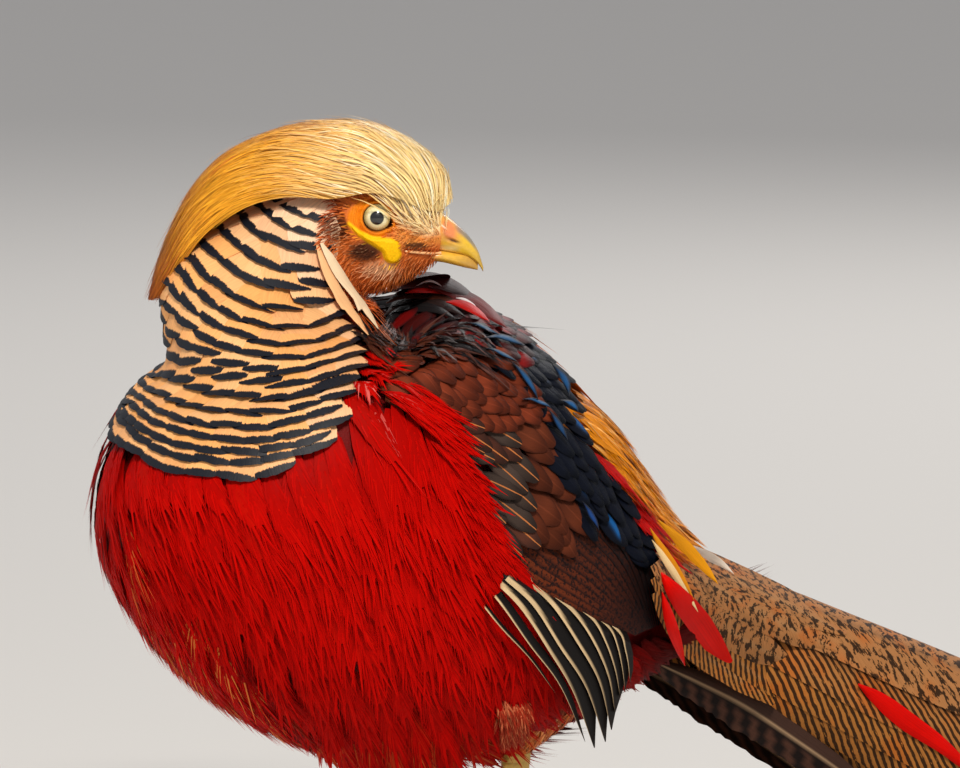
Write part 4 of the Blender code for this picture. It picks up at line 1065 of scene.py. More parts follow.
def bristle_tint(laid, across, along):
    """The face's colours, with pale tips and a rustier throat."""
    forward, _, up = head_axes(laid["line"][:, 0])
    colour = face_tint(forward, up).reshape(thin(across) + (3,))
    colour = np.broadcast_to(colour, across.shape + (3,))
    colour = mix(colour, THROAT_RUST, 0.8 * smooth(4.6, 5.4, rooted(laid, "place", across)))
    colour = varied(colour, across, 3, 0.22) * (0.78 + 0.4 * along)[..., None]
    return mix(colour, BRISTLE_CREAM, 0.35 * smooth(0.6, 1.0, along) * (chance(across, 4) > 0.5))


def make_face():
    """Short feathers on the lores, cheeks, ears and throat, round the bare skin."""
    p, d = scatter(body, (0.12, 6.5), (0.0, 360.0), BRISTLE_SPACING, 21, on_face)
    draw = np.random.default_rng(21)
    forward, right, up = head_axes(body(p, d))
    low, brow = 1 - smooth(-22, -12, up), lore(forward, up)
    length = BRISTLE_LENGTH + 1.0 * low + 1.2 * smooth(3.8, 5.2, p) + 0.5 * draw.random(len(p)) + 4.5 * brow
    ruff = 0.3 + low + 0.4 * draw.random(len(p))
    lift = np.array(BRISTLE_LIFT) + np.array(BRISTLE_RUFF) * ruff[:, None]
    lift = lift + np.array(BROW_LIFT) * brow[:, None]
    heading = toward_crown(d) * (np.interp(up, *BRISTLE_TURN) * smooth(-6, 4, forward))
    laid = lay(body, p, d, heading + draw.normal(0, 12 + 12 * low, len(p)), length, lift, rows=4)
    cloth = feather_material("face_feathers", 0.55, lines=6.0, specular=0.25)
    tufts = block(laid, strands(laid, BRISTLE_WIDTH, columns=3), bristle_tint)
    piece("face_tufts", [tufts], cloth)


# The eye's rings from its middle, as where each starts and ends to show, and how far its cornea bulges.
PUPIL, IRIS, RIM, BULGE, BULGE_WIDTH = (2.0, 2.25), (2.8, 3.9), (3.95, 4.25), 0.05, 0.55


def make_eyes():
    """Glossy eyes with a pale iris, a dark pupil and a slight bulge of the cornea."""
    m = Nodes("eye_gloss", 0.25, Coat_Weight=1.0, Coat_Roughness=0.01, Specular_IOR_Level=0.5)
    across, along = m.across_along()
    spokes = m.noise(m.pair(across, 60.0, along, 8.0), 1.0, 3.0)
    m.set(Base_Color=m.shaded(m.tint(), m.sum("MULTIPLY_ADD", spokes, 0.3, 0.85)))
    tilts, turns = np.radians(np.linspace(0.5, 179.5, 90)), np.radians(np.arange(72) * 5.0)
    tilt, turn = np.meshgrid(tilts, turns, indexing="ij")
    radius = EYE_RADIUS * (1 + BULGE * ridge(tilt, 0, BULGE_WIDTH))
    away = EYE_RADIUS * np.sin(tilt)
    colour = mix(PUPIL_BLACK, mix(IRIS_PALE, IRIS_YELLOW, smooth(*IRIS, away)), smooth(*PUPIL, away))
    colour = mix(mix(colour, IRIS_RIM, smooth(*RIM, away)), EYE_BACK, (tilt > 1.6).astype(float))
    for side, name in ((1, "right"), (-1, "left")):
        point = head_point(radius * np.sin(tilt) * np.cos(turn), side * (EYE_ASIDE + radius * np.cos(tilt)),
                           radius * np.sin(tilt) * np.sin(turn))
        piece(f"eyeball_{name}", [tube(point, colour)], m.material, (f"eye_{name}",), weld=True)


# Halves of the bill: forward, top, low edge and half width at stations from the root to the tip.
UPPER_BILL = (
    (19.5, 1.2, -11.4, 5.2),
    (21.8, -0.6, -11.8, 4.7),
    (25.0, -3.2, -12.4, 4.0),
    (28.5, -6.6, -13.4, 3.0),
    (31.5, -11.2, -15.6, 1.9),
    (33.3, -16.6, -18.3, 0.7),
)
LOWER_BILL = (
    (17.0, -11.2, -14.8, 4.6),
    (20.6, -11.3, -15.2, 4.1),
    (24.0, -11.9, -16.0, 3.3),
    (27.5, -12.4, -16.9, 2.2),
    (30.0, -13.6, -17.4, 1.2),
    (31.6, -15.4, -17.7, 0.35),
)
GAPE_RADIUS, GAPE_TAPER, GAPE_SINK = 0.55, ((0, 0.8, 1), (1.0, 0.9, 0.4)), 0.35
# The cutting edge, and the nostril's flap and slit: middle, widths, lean and the place it leans about.
TOMIUM = ((19, 25, 28.5, 31.5, 33.3), (-11.0, -11.6, -12.6, -14.8, -17.6))
FLAP, FLAP_SHADE = ((22.6, -5.2), (2.3, 2.6), 0.5, 23.4), ((22.4, -5.0), (2.6, 3.2), 0.5, 23.4)
SLIT, SLIT_SHADE = ((24.0, -8.2), (1.7, 0.42), 0.35, 24.3), ((24.0, -8.2), (1.6, 0.4), 0.35, 24.3)


def spot(forward, up, middle, widths, lean, about):
    """A soft spot on the side of the bill."""
    return ridge(forward, middle[0], widths[0]) * ridge(up + lean * (forward - about), middle[1], widths[1])


def bill_half(outline, relief, tint):
    """Half of the bill, with its own relief and tint by place on the head."""
    p, t = np.meshgrid(np.linspace(0, len(outline) - 1, 70), np.radians(np.arange(72) * 5.0), indexing="ij")
    row = curve(outline, p)
    forward = row[..., 0]
    up = (row[..., 1] + row[..., 2]) / 2 + (row[..., 1] - row[..., 2]) / 2 * np.cos(t)
    right = row[..., 3] * np.sign(np.sin(t)) * np.abs(np.sin(t)) ** 0.85
    grow = relief(forward, up) / np.maximum(row[..., 3], 1.0)
    return tube(head_point(forward, right * (1 + grow), up), tint(forward, up, t))


def upper_relief(forward, up):
    """The flap over the nostril, its slit and the cutting edge."""
    edge = 0.25 * ridge(up, np.interp(forward, *TOMIUM), 0.5)
    return spot(forward, up, *FLAP) - 0.9 * spot(forward, up, *SLIT) + edge


def upper_tint(forward, up, turn):
    """Yellow horn with a grey culmen, a pinkish nostril with painted shade in its slit, and a pale lower
    edge.
    """
    colour = mix(HORN_YELLOW, HORN_TIP, smooth(28, 33, forward))
    culmen = smooth(0.35, 0.75, np.cos(turn)) * smooth(23.5, 25.5, forward)
    culmen = culmen * (1 - smooth(29.5, 32.5, forward))
    colour = mix(colour, CULMEN_GREY, 0.85 * culmen)
    colour = mix(colour, NOSTRIL_PINK, np.clip(1.5 * spot(forward, up, *FLAP_SHADE), 0, 1))
    # The nostril's slit is darkened: painted shade in the recess.
    colour = mix(colour, NOSTRIL_SHADOW, np.clip(1.2 * spot(forward, up, *SLIT_SHADE), 0, 1))
    colour = mix(colour, EDGE_CREAM, 0.7 * ridge(up, -10.6, 1.0) * (1 - smooth(23, 27, forward)))
    return mix(colour, BILL_ROOT, 0.7 * (1 - smooth(19.0, 21.5, forward)))


def lower_relief(forward, up):
    """The lower half of the bill is smooth."""
    return 0 * forward


def lower_tint(forward, up, turn):
    """Yellow horn, pinker at the root."""
    colour = mix(LOWER_HORN, LOWER_TIP, smooth(24, 30, forward))
    return mix(colour, LOWER_ROOT, 0.6 * (1 - smooth(18, 21, forward)))


def gape(side):
    """The soft pale corner of the mouth on one side, along the head's surface."""
    spots = curve(MOUTH_LINE[:, :2], np.linspace(0.6, 3, 40))
    turns = NAPE_DEG - side * np.linspace(70, 150, 60)
    p, d = np.meshgrid(np.linspace(0.05, 3.2, 160), turns, indexing="ij")
    point, _, _, normal = lie(body, p, d)
    forward, right, up = head_axes(point)
    line = []
    for mark in spots:
        best = np.unravel_index(np.argmin(np.hypot(forward - mark[0], up - mark[1])), p.shape)
        line.append(head_point(mark[0], right[best], mark[1]) - normal[best] * GAPE_SINK)
    line = np.array(line)
    out = np.tile(HEAD_RIGHT * side, (len(line), 1))
    rise = np.cross(unit(np.gradient(line, axis=0)), out)
    turn = np.radians(np.arange(12) * 30.0)[None, :, None]
    size = GAPE_RADIUS * np.interp(np.linspace(0, 1, 40), *GAPE_TAPER)[:, None, None]
    ring = np.cos(turn) * out[:, None] + np.sin(turn) * rise[:, None]
    return tube(line[:, None] + size * ring, GAPE_PINK)


def make_bill():
    """Bill of yellow horn with a darker culmen, a soft flap over each nostril and a hooked tip."""
    horn = grained("horn", 0.25, (700.0, 4.0), (0.45, 0.78), (0.15, 0.0002), Specular_IOR_Level=0.5,
                   Coat_Weight=0.2, Coat_Roughness=0.15)
    upper = bill_half(UPPER_BILL, upper_relief, upper_tint)
    piece("upper_bill", [upper], horn, ("bill_upper",), weld=True)
    lower = bill_half(LOWER_BILL, lower_relief, lower_tint)
    piece("lower_bill", [lower, gape(-1), gape(1)], horn, ("bill_lower",), weld=True)


# Crest and cape.

# Crest layers: spacing, width and depth of the strands; and how long and how turned they are by place.
CREST_LAYERS = ((1.7, 1.3, -0.9), (0.9, 0.42, 0.0))
CREST_LIFT, CREST_STRAY = (-1.5, -0.8, -0.4, -0.15, 0.0), (0, 0.1, 0.4, 0.9, 1.6)
CREST_LENGTH = ((0, 1.5, 4, 9), (15, 22, 32, 30))
CREST_SWEEP = ((0.0, 2.5, 5.5), (52.0, 34.0, 0.0))
CREST_SHELL_DEPTH, STRAY_SHARE = 2.2, 0.03
BROW_EDGE = ((4.0, 9.0, 16.0, 21.0), (1.0, -2.8, -5.4, -4.6))
BROW_TURN, BROW_RISE, BROW_SPACING = ((4, 12, 21), (34.0, 52.0, 66.0)), (-0.6, 0.8, 2.7, 4.4, 5.0), 0.95


def crest_tint(laid, across, along):
    """Pale gold over the forehead, partly a painted highlight, golden behind, and rusty amber at the nape,
    with some strands over the forehead painted near white as highlights.
    """
    place, degrees = rooted(laid, "place", across) + 2.2 * along, fold(rooted(laid, "degrees", across))
    # The pale gold over the forehead is partly the crest's own colour and partly a painted highlight.
    colour = mix(PALE_GOLD, GOLD, smooth(2.4, 6.2, place + 1.2 * (chance(across, 31) - 0.5)))
    colour = mix(colour, AMBER, smooth(6.8, 9.6, place + 1.8 * (chance(across, 32) - 0.5)))
    colour = mix(colour, NAPE_BROWN, 0.8 * smooth(8.6, 10.6, place) * (chance(across, 36) > 0.3))
    rust = smooth(0.80, 0.86, chance(across, 33)) * (1 - smooth(20, 42, degrees)) * smooth(2.6, 3.6, place)
    colour = mix(colour, CREST_RUST, 0.75 * rust)
    # Some strands over the forehead are painted near white: painted highlights.
    highlight_strands = (chance(across, 37) > 0.72) * (1 - smooth(2.6, 5.4, place))
    return varied(mix(colour, CREST_HIGHLIGHT_WHITE, 0.8 * highlight_strands), across, 34, 0.16)


def toward_crown(degrees):
    """The sign of a heading that turns toward the top of the head."""
    return np.where(np.mod(degrees - NAPE_DEG, 360.0) > 180.0, 1.0, -1.0)


def on_brow(p, d):
    """Where the strands of the brow grow, between the bill and the eye."""
    forward, right, up = head_axes(body(p, d))
    return (up > np.interp(forward, *BROW_EDGE)) & (forward > 4.5) & (eye_reach(forward, up) > 6.6)


def brow_strands():
    """Pale strands that rise from the lores and the base of the bill into the crest."""
    p, d = scatter(body, (0.08, 3.6), (0.0, 360.0), BROW_SPACING, 43, on_brow)
    draw = np.random.default_rng(43)
    forward, _, up = head_axes(body(p, d))
    heading = toward_crown(d) * (np.interp(forward, *BROW_TURN) + draw.normal(0, 7, len(p)))
    length = 6.0 + 8.0 * smooth(4.0, -2.0, up) + 2.0 * draw.random(len(p))
    lift = np.array(BROW_RISE) * (0.85 + 0.25 * draw.random(len(p)))[:, None]
    laid = lay(body, p, d, heading, length, lift, rows=7, bend=-toward_crown(d) * 6.0)
    return block(laid, strands(laid, CREST_LAYERS[1][1] * (0.7 + 0.6 * draw.random(len(p)))), crest_tint)


def make_crest():
    """Long silky strands from the bill over the crown and down the nape."""
    p, d = np.meshgrid(np.linspace(0.25, 9.7, 70), np.linspace(-87, 87, 60), indexing="ij")
    point, _, _, normal = lie(crest, p, d)
    golden = mix(mix(GOLD, PALE_GOLD, 1 - smooth(2, 5, p)), AMBER, smooth(7, 9, p))
    # The shell under the strands is painted a little darker than they are: painted shade in the gaps between
    # them.
    blocks = [sheet(point - normal * CREST_SHELL_DEPTH, 0.8 * golden), brow_strands()]
    draw = np.random.default_rng(41)
    for number, (spacing, width, depth) in enumerate(CREST_LAYERS):
        p, d = scatter(crest, (0.02, 8.6), (-88, 88), spacing, 42 + number)
        length = np.interp(p, *CREST_LENGTH) * (0.75 + 0.4 * draw.random(len(p)))
        wild = (draw.random(len(p)) > 1 - STRAY_SHARE)[:, None] * np.array(CREST_STRAY)
        lift = depth + np.array(CREST_LIFT) + wild + 0.35 * (draw.random(len(p)) - 0.5)[:, None]
        sweep = np.interp(p, *CREST_SWEEP) * smooth(12, 60, np.abs(d))
        heading = -np.sign(d) * sweep + draw.normal(0, 4.0, len(p))
        bend = np.sign(d) * 0.35 * sweep + draw.normal(0, 2.5, len(p))
        laid = lay(crest, p, d * 0.99, heading, length, lift, rows=8, bend=bend, last=10.0)
        blocks.append(block(laid, strands(laid, width * (0.7 + 0.6 * draw.random(len(p)))), crest_tint))
    silk = feather_material("crest_silk", 0.3, lines=3.0, depth=0.1, specular=0.4)
    piece("crest_strands", blocks, silk, ("crest",))


CAPE_LENGTH, BAR_PITCH, BAR_THICKNESS = 24.0, 11.0, 2.7
CAPE_LIFT = ((0, 0.4, 0.75, 1.0), (-5.6, -3.2, -1.4, -0.4))
# How far the bar's end is drawn in at the sides of a feather, and from the feather's tip.
BAR_CURVE, BAR_INSET = 1.7, 0.9
# Every second row of dark bars, from the face down, by five pixels of the photograph's frame.
CAPE_BARS = (
    ((268, 198), (283, 206), (297, 213), (310, 218), (323, 221)),
    ((231, 211), (247, 228), (270, 243), (297, 251), (322, 252)),
    ((198, 243), (222, 266), (252, 283), (290, 289), (328, 285)),
    ((172, 268), (196, 297), (240, 320), (295, 327), (350, 313)),
    ((152, 298), (180, 325), (228, 350), (300, 357), (371, 334)),
    ((137, 330), (165, 358), (222, 378), (295, 384), (365, 364)),
    ((126, 365), (152, 392), (205, 408), (275, 413), (353, 392)),
    ((120, 398), (145, 420), (195, 437), (262, 442), (338, 424)),
    ((119, 426), (143, 446), (190, 460), (250, 466), (324, 448)),
    ((127, 450), (155, 468), (200, 478), (250, 482), (296, 468)),
)
# Middles of the long pale feathers of the cape's edge behind the face, by pixels of the frame.
EDGE_FEATHERS = (
    ((321, 243), (328, 261), (341, 284), (358, 308), (377, 332)),
    ((318, 244), (323, 266), (334, 290), (349, 314), (368, 336)),
)
EDGE_LIFT, EDGE_WIDTH = ((0, 0.2, 0.8, 1), (0.4, 2.2, 2.4, 1.2)), 4.8
EDGE_SHAPE = (0.2, 0.6, 0.9, 1.0, 0.9, 0.1)


def cape_rows():
    """Places and angles along each row of the cape's bars, from its near edge to its far one."""
    rows = []
    bars = np.array(CAPE_BARS, float)
    for step in [*np.arange(0, len(bars) - 1.9, 0.5), len(bars) - 1.0]:
        spots = curve(bars.reshape(len(bars), -1), step).reshape(-1, 2)
        p, d = seen(body, curve(spots, np.linspace(4, 0, 17)), (3.8, 10.6), (60.0, 235.0))
        order = np.argsort(d)
        rows.append((p[order], d[order]))
    return rows


def flow(p, d, slope):
    """Steps of place and angle, per millimetre, straight down from a row of this slope."""
    _, along, around, normal = lie(body, p, d)
    row = unit(slope[:, None] * along + around)
    down = np.cross(normal, row)
    down = down * np.sign(np.sum(down * along, axis=-1))[:, None]
    aa, ab, bb = (np.sum(v * w, axis=-1) for v, w in ((along, along), (along, around), (around, around)))
    a, b = np.sum(down * along, axis=-1), np.sum(down * around, axis=-1)
    size = aa * bb - ab * ab
    return (a * bb - b * ab) / size, (b * aa - a * ab) / size


def clear_of_face(p, d):
    """Places and angles of the cape's feathers, moved back where they would lie on the face."""
    for _ in range(6):
        x, y, _ = to_pixels(body(p, d))
        over = x + 8.0 - line_x(CAPE_FACE_LINE, y)
        over = np.where((y < 252) & (d < 150) & (d > 40), np.maximum(over, 0.0), 0.0)
        d = d + 0.5 * over
    return p, d


def cape_material():
    """Light orange barbs with a ragged blue-black bar along the end, on a map in millimetres."""
    m = Nodes("cape_vanes", 0.5, Specular_IOR_Level=0.25)
    across, out = m.across_along()
    lines = m.noise(m.pair(across, 1.7, out, 0.05), 1.0, 3.0, 0.75)
    rough = m.noise(m.pair(across, 1.9, out, 0.1), 1.0, 2.0, 0.6)
    reach = m.sum("MULTIPLY_ADD", rough, 1.8, m.sum("SUBTRACT", CAPE_LENGTH - BAR_INSET, out))
    bar = m.sum("SUBTRACT", 1.0, m.ramp(reach, BAR_THICKNESS - 0.2, BAR_THICKNESS + 0.2))
    colour = m.shaded(m.tint(), m.sum("MULTIPLY_ADD", lines, 1.1, 0.48))
    dark = m.shaded(BLUE_BLACK, m.sum("MULTIPLY_ADD", lines, 1.4, 0.3))
    m.set(Base_Color=m.blend(bar, colour, dark))
    m.bump(lines, 0.35, 0.0003)
    return m.material


def make_cape():
    """Broad, square-ended feathers in overlapping rows, each with a dark bar along its end."""
    draw = np.random.default_rng(51)
    rows = []
    for row, (row_p, row_d) in enumerate(cape_rows()):
        fine = np.linspace(row_d[0], cape_edges(row_p[-1])[1], 400)
        place = np.interp(fine, row_d, row_p)
        place = np.convolve(np.pad(place, 12, mode="edge"), np.ones(25) / 25, "valid")
        reach = np.linalg.norm(np.diff(body(place, fine), axis=0), axis=1)
        reach = np.concatenate([[0], np.cumsum(reach)])
        count = max(3, int(round(reach[-1] / BAR_PITCH)))
        share = (np.arange(count) + 0.3 + 0.4 * (row % 2) + 0.24 * (draw.random(count) - 0.5)) / count
        angle = np.interp(share * reach[-1], reach, fine)
        end = np.interp(angle, fine, place) + 0.05 * (draw.random(count) - 0.5)
        slope = np.interp(angle, fine, np.gradient(place, fine))
        rows.append((end, angle, slope, BAR_PITCH * (1.35 + 0.35 * draw.random(count)), share * reach[-1]))
    tip, angle, slope, width, near = (np.concatenate(column) for column in zip(*rows))
    p_step, d_step = flow(tip, angle, slope)
    steps = np.linspace(0, 1, 10)
    back = CAPE_LENGTH * (1 - steps)
    p = np.maximum(tip[:, None] - p_step[:, None] * back, 3.4 + 0.3 * steps)
    d = angle[:, None] - d_step[:, None] * back + draw.normal(0, 1.2, len(angle))[:, None] * (1 - steps)
    lift = np.interp(steps, *CAPE_LIFT) + 0.16 * (draw.random(len(tip)) - 0.5)[:, None]
    lift = lift + 0.5 * (1 - smooth(4.9, 5.8, tip))[:, None] * steps
    laid = lay_path(body, *clear_of_face(p, d), lift)
    shaped = vanes(laid, width, SQUARE, columns=17, cup=0.13, tip_curve=0.2, fray=0.4, seed=52)

    def tint(laid, across, along):
        """Paler towards the face, with a painted sheen along the near edge."""
        colour = mix(CAPE_ORANGE, CAPE_PALE, 0.35 * chance(across, 53))
        # A pale silvery mix along the near edge of each row: a painted sheen.
        colour = mix(colour, CAPE_EDGE_SHEEN, 0.3 * (ridge(near, 0, 9.0)[:, None, None] + 0 * along))
        colour = mix(colour, CAPE_RUST, 0.25 * (chance(across, 54) > 0.75))
        top = (1 - smooth(5.0, 6.4, tip))[:, None, None] + 0 * along
        return varied(mix(colour, CAPE_TOP_PALE, 0.7 * top), across, 55, 0.06)

    vane = block(laid, shaped, tint, patterned=(0, 0))
    aside = shaped[1] * width[:, None, None] / 2
    taper = BAR_CURVE * np.abs(shaped[1]) ** 2.5
    vane["map"] = np.stack([aside + 37.0 * chance(shaped[1], 56), CAPE_LENGTH * shaped[2] - taper], axis=-1)
    piece("cape_feathers", [vane], cape_material(), ("cape",))
    make_cape_edge()


def make_cape_edge():
    """Long pale feathers without bars along the cape's edge behind the face."""
    blocks = []
    steps = np.linspace(0, 1, 16)
    for number, spots in enumerate(EDGE_FEATHERS):
        p, d = seen(body, curve(spots, 4 * steps), (3.8, 8.6), (50.0, 200.0))
        laid = lay_path(body, p[None], d[None], (np.interp(steps, *EDGE_LIFT) - 0.8 * number)[None])
        shaped = vanes(laid, EDGE_WIDTH, EDGE_SHAPE, columns=9, cup=0.2)
        blocks.append(block(laid, shaped, mix(CAPE_CREAM, CAPE_ORANGE, 0.6 * number), patterned=(number, 4)))
    cream = feather_material("cape_edge_vanes", 0.45, lines=10.0, depth=0.2, specular=0.3)
    piece("cape_edge", blocks, cream)


# Breast, flanks, belly and back.

def red_tint(laid, across, along):
    """Scarlet, deeper on the belly, with painted shade in the breast's crease and towards each feather's
    root, strands painted golden near its edge and pink on the neck's side as highlights, and dark at the
    vent.
    """
    degrees, place = rooted(laid, "degrees", across), rooted(laid, "place", across)
    aside = fold(degrees)
    parts = 2 if across.ndim == 4 else 1
    luck = chance(across, 61, parts)
    colour = mix(SCARLET, DEEP_RED, np.clip(0.6 * smooth(11.5, 15.5, place) + 0.3 * (luck - 0.6), 0, 1))
    colour = mix(colour, BRIGHT_RED, 0.3 * smooth(0.8, 1.0, luck))
    x, y = left_pixels(laid["line"][:, 2])
    off = from_crease(x, y)
    lower = smooth(585, 625, y)
    # Strands near the breast's left and lower edges are painted golden as highlights.
    golden = lower * smooth(0.0, -10.0, off) * (x < 330) + 0.3 * smooth(715, 740, y)
    golden = golden + 0.8 * smooth(140, 118, x) * smooth(470, 510, y)
    # dark: painted shade along the lower part of the breast's crease.
    for name, value in (("dark", lower * np.exp(-((off / 7.0) ** 2))), ("golden", golden)):
        laid = dict(laid, **{name: value})
    gold = np.clip(rooted(laid, "golden", across), 0, 1) * (parts == 2)
    colour = mix(colour, BREAST_GOLD_HIGHLIGHT, 0.6 * gold * (chance(across, 63, parts) > 0.8))
    # A pink sheen painted on some barbs of the neck's side: a painted highlight.
    sheen = np.exp(-(((aside - 92) / 5.0) ** 2)) * np.exp(-(((place - 8.6) / 0.5) ** 2))
    colour = mix(colour, PAINTED_SHEEN_PINK, 0.8 * sheen * (parts == 2) * (chance(across, 64, parts) > 0.75))
    vent = smooth(14.8, 15.8, place) * smooth(66, 82, aside)
    colour = mix(colour, VENT_RED, 0.9 * vent)
    colour = mix(colour, NECK_RUST, 0.8 * (1 - smooth(5.6, 6.2, place)))
    # Painted shade: darker towards each feather's root and in the breast's crease.
    shade = (0.82 + 0.24 * along) * (1.0 - 0.6 * rooted(laid, "dark", across))
    return varied(colour, across, 65, 0.1) * shade[..., None]


def shaded_web_tint(laid, across, along):
    """The webs under the barbs, a darker scarlet than the barbs as painted shade."""
    return red_tint(laid, across, along) * 0.82


def wing_reach(points):
    """Whether points of the torso, or their mirror images, show within the folded wing in the frame."""
    return inside(*left_pixels(points), WING_OUTLINE)


# The part of the cape that no scarlet feather grows through, by pixels of the frame.
CAPE_SHOWN = ((262, 205), (330, 200), (322, 245), (345, 285), (370, 328), (360, 352), (346, 384), (340, 404),
              (328, 416), (290, 428), (280, 442), (258, 450), (200, 442), (150, 430), (104, 416), (104, 380),
              (130, 330), (150, 280))


def red_region(p, d):
    """Where scarlet feathers grow: the torso outside the cape, wings, mantle and rump."""
    degrees = np.mod(d, 360.0)
    aside = fold(degrees)
    left, right = cape_edges(p)
    low = np.interp(degrees, CAPE_LOW_DEGREES, CAPE_LOW_PLACES)
    cape = (degrees > left + 9) & (degrees < right - 9) & (p < low - 1.05)
    point, _, _, normal = lie(body, p, degrees)
    x, y, _ = to_pixels(point)
    shown = (normal @ view_axes()[3] < -0.15) & (degrees < 236)
    cape = np.where(shown, inside(x, y, CAPE_SHOWN), cape)
    wing = (p > 8.2) & wing_reach(body(p, d)) & (aside < 108)
    rump = ((aside < 46) & (p > 9.8)) | ((p > 12.2) & (aside < 96) & (rump_side(body(p, d)) > -2.0))
    mantle = (aside < 62) & (p <= 9.8)
    start = (p > 7.2) & (p <= 8.2) & (degrees < 105)
    wing = wing | (start & inside(*to_pixels(body(p, d))[:2], WING_OUTLINE))
    return ~(cape | wing | rump | mantle) & (p > 7.2)


def only(laid, kept):
    """Some of the laid feathers."""
    return {name: value if name == "rows" else value[kept] for name, value in laid.items()}


# The crease between the two halves of the breast, by pixels of the frame.
CREASE = ((206, 560), (216, 599), (250, 662), (294, 731), (312, 768))


def from_crease(x, y):
    """How far pixels lie to the right of the breast's crease."""
    return x - line_x(CREASE, y)


def hang(p, d):
    """Heading of scarlet feathers: down the front of the breast, and hanging on the belly and flank."""
    def on_screen(d):
        point, _, _, normal = lie(body, p, d)
        x, y, _ = to_pixels(point)
        front = np.interp(y, (480, 560, 620, 680, 740), (88.0, 78.0, 64.0, 46.0, 30.0))
        below = np.interp(x, (200, 420, 500, 580), (84.0, 90.0, 94.0, 88.0))
        below = mix(front, below, smooth(-8.0, 14.0, from_crease(x, y)))[..., 0]
        below = below + (60.0 - below) * smooth(390, 460, x) * smooth(610, 540, y)
        heading = np.clip(screen_heading(p, d, below), -80.0, 80.0)
        return heading * smooth(0.1, 0.45, -(normal @ view_axes()[3]))

    mirror = smooth(250.0, 285.0, d)
    both = on_screen(d) * (1 - mirror) - on_screen(360.0 - d) * mirror
    return both * smooth(8.4, 9.8, p) * smooth(17.6, 15.2, p)


def red_feathers(name, places, degrees, spacing, seed, coat):
    """A patch of silky scarlet feathers."""
    p, d = scatter(body, places, degrees, spacing, seed, red_region)
    draw = np.random.default_rng(seed)
    aside = fold(d)
    heading = hang(p, np.mod(d, 360.0)) + draw.normal(0, 5, len(p))
    size = 0.42 + 0.58 * smooth(6.2, 8.2, p)
    length = (24.0 + 6.0 * smooth(10, 14, p) + draw.normal(0, 1.5, len(p))) * size
    lift = (-4.4, -2.6, -1.3, -0.5, 0.0) + 0.4 * (draw.random(len(p)) - 0.5)[:, None]
    lift = lift * (0.5 + 0.5 * size)[:, None]
    x, y = left_pixels(body(p, d))
    fringe = smooth(668, 715, y) * smooth(296, 330, x) * smooth(540, 500, x)
    fringe = fringe * (0.4 + 0.9 * draw.random(len(p)))
    lift = lift + fringe[:, None] * np.array([0.0, 0.0, 0.6, 2.2, 4.4])
    laid = lay(body, p, d, heading, length, lift, rows=6)
    width = (7.4 + 0.8 * smooth(10, 14, p)) * size
    clear = ~(wing_reach(laid["line"][:, 4]) & (p > 8.0) & (aside < 112))
    laid, width = only(laid, clear), width[clear]
    under = vanes(laid, width * 0.95, ROUND, columns=3)
    top = barbs(laid, width, 21, ROUND, thickness=0.56, reach=0.6, seed=seed, droop=0.05, ruffle=0.3)
    blocks = [block(laid, under, shaded_web_tint), block(laid, top, red_tint)]
    piece(name, blocks, coat)


# Where the front edge of the wing lies under the red plumes, by pixels of the frame.
FLANK_LINE = ((398, 388), (425, 400), (446, 425), (463, 460), (480, 500), (494, 535), (500, 565), (522, 590))


# Patches of scarlet feathers: places, angles, spacing and seed.
RED_PATCHES = {
    "breast_left": ((7.2, 12.0), (40.0, 182.0), 4.9, 71),
    "belly_left": ((12.0, 18.7), (40.0, 182.0), 5.6, 72),
    "breast_right": ((7.2, 12.0), (178.0, 400.0), 6.4, 73),
    "belly_right": ((12.0, 18.7), (178.0, 320.0), 6.4, 74),
}


def make_red_coat():
    """The silky scarlet feathers of the neck side, breast, flanks and belly."""
    coat = feather_material("scarlet_barbs", 0.5, lines=5.0, depth=0.12, specular=0.12, IOR=1.2)
    for name, patch in RED_PATCHES.items():
        red_feathers(name, *patch, coat)
    blocks = []
    for side in (1, -1):
        draw = np.random.default_rng(75)
        count = 210
        share = draw.random(count)
        spots = curve(FLANK_LINE, share * (len(FLANK_LINE) - 1))
        spots = spots + np.stack([-3.0 - 16.0 * draw.random(count), 6.0 * draw.normal(0, 1, count)], axis=-1)
        p, d = seen(body, spots, (8.0, 14.5), (60.0, 130.0))
        heading = screen_heading(p, d, 30.0 + 34.0 * share + 7.0 * draw.normal(0, 1, count))
        lift = np.array([-3.2, -0.9, 0.2, 0.6, 0.8]) + 0.6 * (draw.random(count) - 0.5)[:, None]
        laid = lay(body, p, side * d, side * heading, 9.0 + 6 * draw.random(count), lift, rows=6)
        top = barbs(laid, 2.2 + 1.4 * draw.random(count), 11, LANCE, thickness=0.42, reach=0.45, seed=76)
        blocks.append(block(laid, top, red_tint))
    piece("flank_plumes", blocks, coat)


# The back edge of the folded wing, by pixels of the frame.
WING_BACK = ((575, 404), (600, 450), (640, 510), (663, 562), (664, 620), (664, 700))


def rump_side(points):
    """How far points show behind the wing's back edge, in pixels, or -99 below the rump."""
    x, y = left_pixels(points)
    away = x - line_x(WING_BACK, y)
    return np.where((y > 380) & (y < 625), away, -99.0)


# How wide the scarlet strip beside the wing is, in pixels, by heights in the frame.
RED_STRIP = ((404, 470, 520, 560, 600, 620), (0.0, 4.0, 10.0, 12.0, 22.0, 60.0))


def rump_red(points):
    """How far points show beyond the scarlet strip beside the wing, in pixels."""
    y = left_pixels(points)[1]
    return rump_side(points) - np.interp(y, *RED_STRIP)


# Where the golden feathers end over the root of the tail, by pixels of the frame.
GOLD_END = ((699, 536), (703, 556), (694, 576), (680, 600), (664, 640))


RUMP_LIFT, RUMP_LOW_LIFT = (-3.6, -1.8, -0.6, 0.1, 0.6), (-3.9, -3.2, -2.6, -2.0, -1.8)


